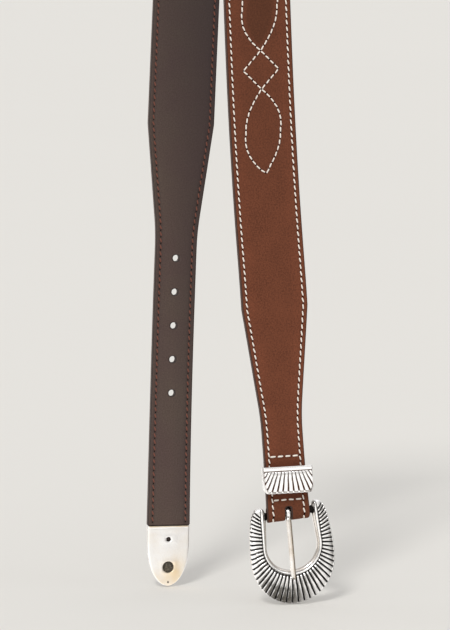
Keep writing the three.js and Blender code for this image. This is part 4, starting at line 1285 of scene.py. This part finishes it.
def rim_point(share):
    """Point of the frame's outline at a share of its length: a superellipse below, a long ellipse above."""
    power = 2 / RIM["squareness"]
    angle = np.linspace(0, PI / 2, 90)
    z_up = np.linspace(RIM["centre"], RIM["top"], 40)[1:]
    x_up = RIM["half"] * np.sqrt(1 - ((z_up - RIM["centre"]) / RIM["above"]) ** 2)
    x_up = x_up - RIM_EAR["inward"] * np.clip((z_up - RIM_EAR["from"]) / RIM_EAR["length"], 0, 1) ** 2
    x = np.concatenate([RIM["half"] * np.sin(angle) ** power, x_up])
    z = np.concatenate([RIM["centre"] - RIM["below"] * np.maximum(np.cos(angle), 0) ** power, z_up])
    reached = np.concatenate([[0], np.cumsum(np.hypot(np.diff(x), np.diff(z)))])
    place = share * reached[-1]
    return np.stack([np.interp(place, reached, x), np.interp(place, reached, z)], -1)


def frame_half():
    """Inside, groove and outside points of the rows of the frame's right half, with each row's flute phase
    and how much of its height it keeps. The rows after the flutes run over the ear to its tip."""
    flute = np.concatenate([(np.arange(FLUTES)[:, None] + np.array(FLUTE_PHASES)).ravel(), [FLUTES]])
    share = flute / FLUTES
    arc = COLLAR["groove"] * PI / 2
    arm = COLLAR_TOP["z"] - COLLAR["centre"]
    distance = share * (arc + arm)
    turn = np.where(distance < arc, distance / arc, 1 + (distance - arc) / arm)
    ear = np.sin(np.linspace(0, 1, 12)[1:] * np.radians(EAR_TURN))
    angle = ear * PI / 2

    def with_ear(line, x_share):
        x = mix(EAR_TIP[0], line[-1, 0], x_share)
        z = mix(line[-1, 1], EAR_TIP[1], np.sin(angle))
        return np.concatenate([line, np.stack([x, z], -1)])

    inside = with_ear(collar_point(turn, 0), np.cos(angle))
    groove = with_ear(collar_point(turn, 1), 1 - ear)
    outside = with_ear(rim_point(share + FLUTE_BUNCHING * share * (1 - share)), np.cos(angle))
    sink = np.concatenate([np.ones(len(flute)), np.sqrt(1 - ear**2)])
    phase = np.concatenate([flute, np.full(len(ear), FLUTES + 0.5)])
    return inside, groove, outside, phase, sink


def flute_depth(phase, flat, side):
    """Depth of the groove between two ribs, from 0 to 1, by the distance to the nearest whole phase: full
    over a flat floor, then up a smooth side."""
    near = np.abs(phase - np.round(phase))
    return 1 - smooth((near - flat) / side)


def frame_point(x, y, z):
    """Point of the buckle frame, which leans and tilts about the bar's centre."""
    return turned(joined(x + FRAME_ASIDE, y, z), -FRAME_LEAN, FRAME_TILT) + BAR_CENTRE


def frame_plate():
    """The fluted plate: a round bead about the opening, a groove, ribs that arch down to the outer lip. Each
    row of points runs straight outwards. A rib's height is an elliptic arch with its ends added, less the
    flute's depth and a parabola for the rib's round crown."""
    inside, groove, outside, phase, sink = frame_half()
    lines = (inside, groove, outside)
    inside, groove, outside = (np.concatenate([line[:0:-1] * (-1, 1), line]) for line in lines)
    phase, sink = (np.concatenate([row[:0:-1], row])[:, None] for row in (phase, sink))
    bead, bead_height, bead_hollow_and_shade = (np.broadcast_to(row, (len(phase), len(row))) for row in BEAD)
    band = np.array(BAND)
    arch = ARCH["base"] + ARCH["rise"] * np.sqrt(1 - (ARCH["share"] * band) ** 2)
    per_row = np.maximum(np.abs(np.gradient(phase[:, 0])), 0.02)
    steps = [np.linalg.norm(np.gradient(line, axis=0), axis=1) / per_row for line in (groove, outside)]
    pitch = mix(steps[0][:, None], steps[1][:, None], band[None, :])
    cut = flute_depth(phase, FLUTE_FLOOR / pitch, FLUTE_SIDE / pitch)
    on_rib = np.interp(band, *RIB_SHARE)
    crown = FLUTE_CROWN * (2 * np.abs(phase - np.floor(phase) - 0.5)) ** 2
    ends = arch + np.interp(band, *RIB_START) + np.interp(band, *RIB_END)
    rib_height = ends - (FLUTE_DEPTH * cut + crown) * on_rib
    height = mix(ARCH["base"], np.hstack([bead_height, rib_height]), sink)
    height[:, 0] = np.minimum(height[:, 0], BEAD[1][0])
    notch = FLUTE_NOTCH * cut * np.interp(band, *NOTCH_SHARE)
    reach = outside - groove
    share = band[None, :] - notch / np.maximum(np.linalg.norm(reach, axis=1)[:, None], 0.5)
    flat = np.concatenate([
        inside[:, None, :] + (groove - inside)[:, None, :] * bead[:, :, None],
        groove[:, None, :] + reach[:, None, :] * share[:, :, None],
    ], 1)
    # Oxide in the groove, and a painted shade on the bead's inner slope
    hollow = np.hstack([bead_hollow_and_shade, np.maximum(cut, np.interp(band, *GROOVE_HOLLOW))])
    across = np.concatenate([np.zeros(bead.shape[1]), band])[None, :]
    into = smooth((across - BACK_RECESS["from"]) / BACK_RECESS["ramp"])
    out = smooth((BACK_RECESS["until"] - across) / BACK_RECESS["ramp"])
    recess = BACK_RECESS["depth"] * into * out * sink
    seams = sum(bump(across - place, BACK_HOLLOW["width"]) for place in BACK_HOLLOW["places"])
    back_hollow = BACK_HOLLOW["share"] * seams + 0 * hollow
    back_hollow[:, -1] = cut[:, -1]
    # Painted shade: a warm tint on the bead's inner slope, which faces the opening
    stain = np.interp(np.arange(hollow.shape[1]), *BEAD_SHADE) + 0 * hollow
    inward = smooth((across - BACK_STAIN["from"]) / BACK_STAIN["ramp"])
    back_stain = BACK_STAIN["least"] + BACK_STAIN["more"] * inward
    top = frame_point(flat[..., 0], BACK_BEHIND_BAR - height, flat[..., 1])
    back = frame_point(flat[..., 0], BACK_BEHIND_BAR - recess, flat[..., 1])
    return plate_part(top, back, {"hollow": (hollow, back_hollow), "stain": (stain, back_stain)})


def bar_part():
    """The bar: a turned rod whose radius grows in two straight steps where it meets the arms."""
    ends = np.array(BAR_ENDS)
    x = np.concatenate([-ends[::-1], ends])[:, None]
    radius = np.interp(np.abs(x), *BAR_FLARE)
    angle = round_angles(BAR_SIDES)
    y = radius * np.cos(angle)
    points = frame_point(x + 0 * y, y, radius * np.sin(angle))
    # Painted shade: the bar's ends, between the strap and the frame's arms, take the oxide colour
    hollow = np.interp(np.abs(x), *BAR_END_SHADE) + 0 * y
    return part(points, tube_faces(1, *y.shape), fields={"hollow": hollow})


def tongue_point(x, y, z):
    """Point of the tongue, turned a little against the frame's lean."""
    return turned(turned(joined(x, y, z), TONGUE_TURN), -FRAME_LEAN, FRAME_TILT) + BAR_CENTRE


def squared(angle, power):
    """Reach of a superellipse at an angle: (|cos|^power + |sin|^power)^(-1 / power)."""
    return (np.abs(np.cos(angle)) ** power + np.abs(np.sin(angle)) ** power) ** (-1 / power)


def tongue_parts():
    """Ring round the bar, a superellipse carried round a circle, and the pin: superellipses along its bent
    spine, of a width and thickness straight between the tables' rows."""
    around = round_angles(RING["around"])[:, None]
    angle = round_angles(RING["sides"])[None, :]
    square = squared(angle, RING["squareness"])
    radius = RING["radius"] + RING["thick"] * square * np.cos(angle)
    x = RING["half"] * square * np.sin(angle)
    points = tongue_point(x, radius * np.cos(around), radius * np.sin(around))
    ring = part(points, ring_faces(RING["around"], RING["sides"]))
    end, close = np.array(PIN_END)
    straight = np.linspace(PIN_STRAIGHT["from"], -end[0], PIN_STRAIGHT["rows"])
    z = np.concatenate([PIN_ROOT, straight, -end[1:]])[:, None]
    close = np.interp(-z, end, close)
    width, thick, y = (np.interp(-z, -np.array(PIN_Z), row) for row in (PIN_WIDTH, PIN_THICKNESS, PIN_Y))
    side = round_angles(PIN_STRAIGHT["sides"])[None, :]
    square = squared(side, PIN_SQUARENESS)
    px = width * close / 2 * square * np.cos(side)
    py = y + thick * close / 2 * square * np.sin(side)
    # Painted shade: a warm tint down the pin's +X side, and a little all round
    on_side = smooth(PIN_SIDE_SHADE["middle"] + PIN_SIDE_SHADE["slope"] * np.cos(side))
    stain = PIN_SIDE_SHADE["least"] + PIN_SIDE_SHADE["more"] * on_side + 0 * px
    pin = part(tongue_point(px, py, z), tube_faces(1, *px.shape), fields={"stain": stain})
    return [ring, pin]


def rounded_loop(x_low, x_high, y_low, y_high, radius):
    """Closed outline of a rectangle with round corners, the same number of points on every such outline."""
    turn = np.radians(np.linspace(0, 90, 7))
    x_low, x_high, y_low, y_high = x_low + radius, x_high - radius, y_low + radius, y_high - radius
    points = []
    for index, centre in enumerate(((x_high, y_high), (x_low, y_high), (x_low, y_low), (x_high, y_low))):
        angle = turn + np.radians(90 * index)
        points.append(centre + radius * np.stack([np.cos(angle), np.sin(angle)], -1))
    return np.concatenate(points)


def keeper_point(x, y, z):
    """Point of the keeper, a little out of square: its sides lean with the belt and its rim slopes less."""
    lean, slope = np.radians(KEEPER_LEAN), np.radians(KEEPER_SLOPE)
    across = x * np.cos(slope) - z * np.sin(lean)
    up = x * np.sin(slope) + z * np.cos(lean)
    return joined(across, y, up) + belt_point(KEEPER_STATION, KEEPER_ASIDE, 0)


def fan_plate(fan, reach, place):
    """Fluted plate: a plain rim, a groove, and ribs that fan out from a point above it. A column follows a
    ray from that point, and reach tells how far below the groove the ray goes. A rib's height is straight
    from row to row, less the smooth sides of the cut and a parabola for its crown. Either a groove or a
    rib runs down the middle."""
    last = fan["half"] / fan["pitch"]
    whole = int(np.ceil(last))
    shift = 0.5 if fan["middle_groove"] else 0.0
    phase = (np.arange(-whole - 1, whole + 2)[:, None] + np.array(FAN_PHASES) + shift).ravel()
    phase = np.concatenate([[-last], phase[np.abs(phase) < last - 0.03], [last]])
    x = phase * fan["pitch"]
    growth = x / fan["above"] + fan["slip"]
    far = np.maximum(reach(x, growth), 0.05)
    edge, rim, groove, rib = (fan[key] for key in ("edge_up", "rim_up", "groove_up", "rib_up"))
    rim_end, groove_z = -fan["rim"], -fan["groove"]
    rim_z = np.array([0, -0.12, -0.35, rim_end + 0.35, rim_end, rim_end - 0.15, groove_z + 0.1])
    rim_up = np.array([edge, rim - 0.12, rim, rim, rim - 0.15, groove + 0.1, groove])
    share = np.array([0, 0.03, 0.08, 0.2, 0.4, 0.6, 0.8, 0.88, 0.9, 0.98, 1.0])[:, None]
    low_end = rib - fan["bevel"]
    along = [0, 0.03, 0.08, 0.88, 0.98, 1.0]
    arch = np.interp(share, along, [groove, rib - FAN_RIB["step"], rib, rib, low_end, min(edge, low_end)])
    near = np.abs(phase + 0.5 - shift - np.round(phase + 0.5 - shift))
    floor = fan["floor"] * (FAN_RIB["floor_start"] + FAN_RIB["floor_growth"] * share)
    cut = 1 - smooth((near - floor) / FAN_RIB["cut_side"])
    crown = FAN_RIB["crown"] * (1 - np.clip(2 * near, 0, 1)) ** 2
    fade_in, fade_out = np.interp(share, [0, 0.05], [0, 1]), np.interp(share, [0.9, 1.0], [1, 0.35])
    ribs = arch - (fan["cut"] * cut + crown) * fade_in * fade_out
    rim_hollow = np.interp(-rim_z, [fan["rim"], fan["groove"] - 0.1], [0, 1])
    rib_hollow = np.maximum(cut, np.interp(share, [0, 0.03, 0.87, 0.9], [1, 0, 0, fan["facet"]]))

    def stacked(above, below):
        return np.vstack([np.broadcast_to(above, (len(rim_z), len(x))), below])

    z = stacked(rim_z[:, None], groove_z - share * far)
    spread_x = stacked(x, x + share * far * growth)
    from_side = np.clip((fan["half"] - np.abs(spread_x)) / FAN_SIDE["width"], 0, 1)
    height = stacked(rim_up[:, None], ribs) - FAN_SIDE["drop"] * (1 - from_side) ** 2
    front = place(spread_x, fan["side"] * height, z)
    back = place(spread_x, -fan["side"] * FAN_BACK, z)
    return plate_part(front, back, {"hollow": (stacked(rim_hollow[:, None], rib_hollow), 0)})


def keeper_parts():
    """The keeper's band and the fluted plate on its front. The band is a rounded box tube whose height
    shrinks by a smooth step from its front to its back."""
    size = KEEPER
    half_height = size["height"] / 2
    level = np.array(KEEPER_LEVELS)[:, None]
    outer = np.stack([rounded_loop(
        -size["half"] + shrink, size["half"] - shrink,
        -size["front"] - size["wall"] + shrink, size["back"] + size["wall"] - shrink, size["corner"],
    ) for shrink in KEEPER_INWARD])
    hole = rounded_loop(-size["inner"], size["inner"], -size["front"], size["back"], size["inner_corner"])
    shell = []
    for loop in (outer, np.broadcast_to(hole, outer.shape)):
        behind = smooth((loop[..., 1] + size["front"]) / size["slope_length"])
        z = level * mix(half_height - size["shorter"], size["back_half"], behind)
        shell.append(keeper_point(loop[..., 0], loop[..., 1], z))
    fan = KEEPER_FAN

    def reach(x, growth):
        """Down to the plate's lower edge, with its round corners, or to its side."""
        to_side = (fan["half"] - x * np.sign(growth)) / np.maximum(np.abs(growth), 0.001)
        into = np.clip((np.abs(x + growth * fan["below"]) - fan["half"]) / fan["corner"] + 1, 0, 1)
        lowest = fan["below"] - fan["corner"] * (1 - np.sqrt(1 - into**2))
        return np.minimum(lowest, to_side)

    def place(x, y, z):
        return keeper_point(x, y - size["front"] - size["plate_out"], z + half_height)

    return [plate_part(*shell, {}, wrap=True), fan_plate(fan, reach, place)]


def tip_half(below):
    """Half width of the tip: straight, then a superellipse to its point."""
    share = np.clip((below - TIP["straight"]) / (TIP["length"] - TIP["straight"]), 0, 1)
    return TIP["half"] * np.sqrt(1 - share ** TIP["power"])


def tip_point(x, y, z):
    """Point of the tip, hung from the leather's end with its show side to +Y."""
    return turned(joined(x, y, z), LEAN_ANGLES[-1]) + belt_point(LEATHER_END + TIP_GAP, 0, 0)


def tip_rows():
    """Depths below the tip's mouth of its grid's rows, closest at the mouth, the holes and the point."""
    length = TIP["length"]
    rows = np.concatenate([
        [0, 0.06, 0.2, 0.5, 0.9, 1.15, 1.35, 1.7],
        np.arange(2.6, 30, 0.9),
        length - (length - 30) * (1 - np.sin(np.radians(np.linspace(0, 88, 12)))),
    ])
    around = np.array([1.2, 0.6, 0.3, 0.12, 0])
    for below, radius in TIP_HOLES:
        middle = radius * np.sin(np.radians([-45, -15, 15, 45]))
        own = np.concatenate([-radius - around, middle, radius + around[::-1]])
        rows = rows_clear_of(rows, below, radius + TIP_HOLE_REACH, own)
    return np.sort(rows)


def tip_shell():
    """The tip's hollow shell: its columns run across the back, round one side, across the front and round
    the other side. The sides are half ellipses. The back is dished by smooth steps from its edge and from
    the mouth, and each hole in it has an eased border and a bell-curved lip."""
    rows = tip_rows()
    half = tip_half(rows)[:, None]
    outer_share = np.linspace(0.36, 1, 12)
    inner_share = np.linspace(-TIP_HOLE_SHARE, TIP_HOLE_SHARE, 13)
    across = np.concatenate([-outer_share[::-1], inner_share, outer_share])
    back_u = np.sign(across) * (1 - (1 - np.abs(across)) ** 1.25)
    side = np.radians(np.arange(20, 180, 20))
    flat, round_side = np.zeros(len(across)), np.sin(side)
    u = np.concatenate([back_u, np.ones(len(side)), across[::-1], -np.ones(len(side))])[None, :]
    beyond = np.concatenate([flat, round_side, flat, round_side])[None, :]
    face = np.concatenate([flat, (1 - np.cos(side)) / 2, flat + 1, (1 + np.cos(side)) / 2])[None, :]
    plain = np.minimum(half, np.maximum(half - TIP["rim"], 0.3))
    x = u * plain + np.sign(u) * beyond * (half - plain)
    depth = np.broadcast_to(rows[:, None], x.shape)
    on_back = (np.arange(x.shape[1]) < len(across))[None, :]
    from_edge = np.minimum(plain * (1 - np.abs(u)), (TIP["length"] - depth) * 0.8)
    lip = bump(depth - TIP_MOUTH["lip"], TIP_MOUTH["lip_width"]) * TIP_MOUTH["lip_height"]
    lip = lip - bump(depth - TIP_MOUTH["groove"], TIP_MOUTH["groove_width"]) * TIP_MOUTH["groove_depth"]
    below_mouth = smooth((depth - TIP_DISH["from"]) / TIP_DISH["ramp"])
    dish = TIP_DISH["depth"] * smooth(from_edge / TIP_DISH["side"]) * below_mouth
    y = mix(TIP["back"], TIP["front"], face) + np.where(on_back, dish - lip, 0)
    y = y + np.where(on_back, 1, -1) * eased(depth, TIP_MOUTH["eased"]) * (1 - beyond)
    groove = bump(depth - TIP_MOUTH["groove"], TIP_HOLLOW["groove_width"]) * on_back
    hollow = TIP_HOLLOW["groove"] * groove + TIP_HOLLOW["sides"] * beyond
    share = np.concatenate([across, np.full(x.shape[1] - len(across), FAR_AWAY)])[None, :] + 0 * x
    kept = np.ones((x.shape[0] - 1, x.shape[1]), bool)
    z = depth
    for below, radius in TIP_HOLES:
        reach = radius + TIP_HOLE_REACH
        new_x, new_z, square = opened(x, z, share, TIP_HOLE_SHARE, below, 0, radius, reach)
        x, z = np.where(on_back, new_x, x), np.where(on_back, new_z, z)
        square = np.where(on_back, square, FAR_AWAY)
        sunk = eased(np.maximum(square - radius, 0), TIP_LIP["eased"])
        raised = TIP_LIP["height"] * bump(square - radius - TIP_LIP["out"], TIP_LIP["width"])
        y = y + (sunk - raised) * on_back
        kept &= ~left_out(np.hstack([square, square[:, :1]]), radius)
    outer = tip_point(x, y, -z)
    inner_x = x * (1 - TIP["wall"] / np.maximum(half, TIP["wall"] + 0.6) * np.abs(u) ** 6)
    closing = smooth((z - TIP_CAVITY["from"]) / TIP_CAVITY["ramp"])
    inner_z = np.minimum(z, mix(z, TIP_CAVITY["length"], closing))
    inner = tip_point(inner_x, mix(TIP_CAVITY["back"], TIP_CAVITY["front"], face), -inner_z)
    from_stain = np.hypot(x - TIP_STAIN["x"], z - TIP_STAIN["below"])
    stain = TIP_STAIN["least"] + TIP_STAIN["spot"] * bump(from_stain, TIP_STAIN["radius"])
    at_point = smooth((z - TIP_STAIN["point_from"]) / TIP_STAIN["ramp"])
    stain = np.minimum(stain + TIP_STAIN["point"] * at_point, TIP_STAIN["most"])
    at_mouth = bump(depth - TIP_STAIN["mouth"], TIP_STAIN["mouth_width"])
    stain = np.maximum(stain, at_mouth * TIP_STAIN["most"]) * on_back
    dimple = bump(np.hypot(x, z - TIP_DIMPLE["below"]), TIP_DIMPLE["radius"]) * on_back
    # The inner face takes the inside values: a painted shade
    return plate_part(outer, inner, {
        "hollow": (np.maximum(hollow, dimple), TIP_HOLLOW["inside"]),
        "stain": (stain, TIP_STAIN["inside"]),
    }, kept, wrap=True)


def tip_parts():
    """The tip: a hollow shell with two holes in its dished back, and a fluted plate on its show side."""
    fan = TIP_FAN

    def reach(x, _growth):
        """Down to just within the tip's outline, found by halving."""
        low, high = np.zeros_like(x), np.full_like(x, TIP["length"] - fan["groove"])
        for _ in range(30):
            middle = (low + high) / 2
            within = np.abs(x) * (1 + middle / fan["above"]) < tip_half(fan["groove"] + middle) - 0.3
            low, high = np.where(within, middle, low), np.where(within, high, middle)
        return low

    def place(x, y, z):
        return tip_point(x, y + TIP["front"], z)

    return [tip_shell(), fan_plate(fan, reach, place)]


def tenon_part(low, high):
    """Thinned end of a leather layer inside the tip, between two heights."""
    station = LEATHER_END + np.array([TENON["from"], TENON["until"]])[:, None]
    offset = np.array([-TENON["half"], TENON["half"]])[None, :]
    faces = [belt_point(station, offset, np.full((2, 2), height)) for height in (high, low)]
    uv = np.broadcast_to(joined(station, offset) / 100, (2, 2, 2, 2))
    # With no inset field its inset reads zero, so its whole face takes the edge paint colour: a painted
    # shade inside the tip
    return plate_part(*faces, {}, uv=uv)


# Operators


class BELT_OT_studio(bpy.types.Operator):
    """Make the camera, the floor and the soft studio light"""

    bl_idname = "belt.studio"
    bl_label = "Studio"

    def execute(self, context):
        scene = context.scene
        studio = scene.belt_studio
        scene.view_settings.view_transform = "Standard"
        a, e = studio.azimuth, studio.elevation
        back = Vector((np.sin(a) * np.cos(e), -np.cos(a) * np.cos(e), np.sin(e)))
        right = Vector((np.cos(a), np.sin(a), 0))
        camera = bpy.data.objects.new("camera", bpy.data.cameras.new("camera"))
        camera.data.lens = studio.lens
        camera.data.sensor_width = SENSOR_WIDTH
        camera.data.clip_end = 100
        turn = Matrix((right, back.cross(right), back)).transposed().to_4x4()
        camera.matrix_world = Matrix.Translation(CAMERA_PLACE) @ turn
        scene.collection.objects.link(camera)
        scene.camera = camera
        self.make_floor(scene)
        self.make_light(scene, studio)
        self.make_sky(scene, studio)
        return {"FINISHED"}

    def make_floor(self, scene):
        """Wide floor just under the belt's lowest point."""
        mesh = bpy.data.meshes.new("floor")
        level = CAD_BOX[0][2] - FLOOR_GAP
        corners = [(x * FLOOR_HALF, y * FLOOR_HALF, level) for x, y in ((-1, -1), (1, -1), (1, 1), (-1, 1))]
        mesh.from_pydata(corners, [], [(0, 1, 2, 3)])
        mesh.materials.append(floor_material())
        floor = bpy.data.objects.new("floor", mesh)
        scene.collection.objects.link(floor)

    def make_light(self, scene, studio):
        """Large soft light from the front left."""
        lamp = bpy.data.lights.new("key", "SUN")
        lamp.energy = studio.key
        lamp.angle = studio.softness
        lamp.color = studio.key_colour
        key = bpy.data.objects.new("key", lamp)
        key.rotation_euler = Vector(KEY_TOWARDS).to_track_quat("-Z", "Y").to_euler()
        scene.collection.objects.link(key)

    def make_sky(self, scene, studio):
        """Even pale surroundings, a little brighter above. The metal sees them brighter on the left."""
        world = bpy.data.worlds.new("studio")
        world.use_nodes = True
        tree = world.node_tree
        places = put(tree, "ShaderNodeTexCoord", {})["Generated"]
        axes = put(tree, "ShaderNodeSeparateXYZ", {0: places})
        right = ramp(tree, axes["X"], *DARK_SKY_REACH, GLOSSY_SKY, DARK_SIDE)
        mirrored = math_node(tree, "SUBTRACT", right, studio.sky)
        up = ramp(tree, axes["Z"], *SKY_RISE)
        set_inputs(tree, tree.nodes["Background"], {
            "Color": blend_colours(tree, up, studio.horizon, (1, 1, 1)),
            "Strength": math_node(tree, "MULTIPLY_ADD", glossy_ray(tree), mirrored, studio.sky),
        })
        scene.world = world


class BELT_OT_groups(bpy.types.Operator):
    """Make the node groups that the materials share"""

    bl_idname = "belt.groups"
    bl_label = "Shared node groups"

    def execute(self, context):
        mottle_group()
        edge_group()
        silver_group()
        return {"FINISHED"}


class BELT_OT_leather(bpy.types.Operator):
    """Make the suede layer and the lining layer"""

    bl_idname = "belt.leather"
    bl_label = "Leather layers"

    def execute(self, context):
        suede, lining = suede_material(), lining_material()
        parts = [suede_part(), tenon_part(low=0.1, high=1.0)]
        new_piece("suede_layer", parts, [suede], "strap", ["strap_outer"], 50)
        parts = [lining_part(), tenon_part(low=-1.1, high=-0.35)]
        new_piece("lining_layer", parts, [lining], "strap", ["strap_lining"], 50)
        return {"FINISHED"}


class BELT_OT_stitching(bpy.types.Operator):
    """Sew the border rows, the pattern and the cross rows on both faces"""

    bl_idname = "belt.stitching"
    bl_label = "Stitching"

    def execute(self, context):
        sewing = context.scene.belt_stitching
        # The needle holes take a painted shade
        holes = needle_shade_material()
        front = thread_material("front_thread", sewing.front)
        parts = sewn(self.front_rows(context), FRONT_THREAD)
        new_piece("front_stitching", parts, [front, holes], "strap", crease=60)
        back = thread_material("back_thread", sewing.back)
        parts = sewn(self.back_rows(context), BACK_THREAD)
        new_piece("back_stitching", parts, [back, holes], "strap", crease=60)
        return {"FINISHED"}

    def front_rows(self, context):
        """Border, pattern and cross rows on the suede."""
        sewing = context.scene.belt_stitching
        pitch, length, width = sewing.pitch / MM, sewing.length / MM, sewing.thread / MM
        inset, thick = sewing.inset / MM, CROSS_THICKER * width
        border = border_rows(BORDER_START, LEATHER_END - 2, inset, pitch)
        cross = cross_rows(inset, pitch)
        rows = [
            {"stitches": border, "length": length, "slant": 15, "width": width, "seed": 1},
            {"stitches": pattern_rows(), "length": 3.2, "slant": 5, "width": width, "seed": 2},
            {"stitches": cross, "length": CROSS_LONGER * length, "slant": 0, "width": thick, "seed": 6},
        ]
        surface = context.scene.belt_leather.suede_thickness / MM
        return [{**row, "place": suede_point, "surface": surface, "hole": (1.3, 1.0)} for row in rows]

    def back_rows(self, context):
        """Border and pattern rows on the lining, and the rows on the folded-back end."""
        sewing = context.scene.belt_stitching
        pitch, width = sewing.pitch / MM, sewing.back_thread / MM
        border = border_rows(FLAP_END + 2, LEATHER_END - 2, LINING_SEAM["inset"], pitch)
        flap_border = border_rows(1.0, FLAP_END - 1, FLAP_INSET, pitch)
        flap = np.concatenate([flap_border, cross_rows(FLAP_INSET, pitch)])

        def on_lining(station, offset, height):
            return belt_point(station, offset, -height)

        def on_flap(station, offset, height):
            return suede_point(-station - LOOP_ARC, offset, height)

        pattern = pattern_rows()
        lining = {"place": on_lining, "surface": LINING_OUTSIDE, "width": width}
        folded = {"place": on_flap, "surface": LOOP_THICKNESS, "width": width}
        return [
            {**lining, "stitches": border, "length": 3.2, "slant": -24, "seed": 3, "hole": (1.4, 1.3)},
            {**lining, "stitches": pattern, "length": 2.3, "slant": -10, "seed": 4, "hole": (1.6, 1.1)},
            {**folded, "stitches": flap, "length": 2.3, "slant": -24, "seed": 5, "hole": (2.2, 1.2)},
        ]


class BELT_OT_buckle(bpy.types.Operator):
    """Make the fluted buckle frame with its bar, and the tongue"""

    bl_idname = "belt.buckle"
    bl_label = "Buckle"

    def execute(self, context):
        silver = context.scene.belt_silver
        colours = silver.oxide_and_shade, silver.warm
        fluted = silver_material("fluted_silver", *colours, silver.polish, warm=0.1, grain=0.02)
        parts = [frame_plate(), bar_part()]
        new_piece("fluted_frame", parts, [fluted], "buckle", ["buckle_frame"], 50)
        plain = silver_material("tongue_silver", *colours, silver.polish, warm=0.5, grain=0.03)
        new_piece("tongue", tongue_parts(), [plain], "tongue", ["buckle_tongue"])
        return {"FINISHED"}


class BELT_OT_keeper(bpy.types.Operator):
    """Make the keeper with its fluted front"""

    bl_idname = "belt.keeper"
    bl_label = "Keeper"

    def execute(self, context):
        silver = context.scene.belt_silver
        colours = silver.keeper_oxide, silver.warm
        finish = silver_material("keeper_silver", *colours, silver.polish, warm=0.06, grain=0.02)
        new_piece("fluted_keeper", keeper_parts(), [finish], "keeper", ["keeper"], 50)
        return {"FINISHED"}


class BELT_OT_tip(bpy.types.Operator):
    """Make the metal tip with its fluted show side"""

    bl_idname = "belt.tip"
    bl_label = "Tip"

    def execute(self, context):
        silver = context.scene.belt_silver
        colours = silver.oxide_and_shade, silver.gold
        finish = silver_material("tip_silver", *colours, silver.satin, warm=0.2, grain=0.4)
        new_piece("fluted_tip", tip_parts(), [finish], "strap", ["tip_cap"], 50)
        return {"FINISHED"}


class BELT_PT_panel(bpy.types.Panel):
    """Lists the belt's settings and the steps that build it"""

    bl_idname = "BELT_PT_panel"
    bl_label = "Western Belt"
    bl_space_type = "VIEW_3D"
    bl_region_type = "UI"
    bl_category = "Belt"

    def draw(self, context):
        for group, kind in GROUPS.items():
            box = self.layout.box()
            for name in kind.__annotations__:
                box.prop(getattr(context.scene, group), name)
        for step in STEPS:
            self.layout.operator(step.bl_idname)


STEPS = (
    BELT_OT_groups,
    BELT_OT_studio,
    BELT_OT_leather,
    BELT_OT_stitching,
    BELT_OT_buckle,
    BELT_OT_keeper,
    BELT_OT_tip,
)


def register():
    for kind in (*GROUPS.values(), *STEPS, BELT_PT_panel):
        bpy.utils.register_class(kind)
    for name, kind in GROUPS.items():
        setattr(bpy.types.Scene, name, PointerProperty(type=kind))


def unregister():
    for name in GROUPS:
        delattr(bpy.types.Scene, name)
    for kind in (BELT_PT_panel, *reversed(STEPS), *reversed(GROUPS.values())):
        bpy.utils.unregister_class(kind)


def main():
    register()
    bpy.ops.belt.groups()
    bpy.ops.belt.studio()
    bpy.ops.belt.leather()
    bpy.ops.belt.stitching()
    bpy.ops.belt.buckle()
    bpy.ops.belt.keeper()
    bpy.ops.belt.tip()


if __name__ == "__main__":
    main()
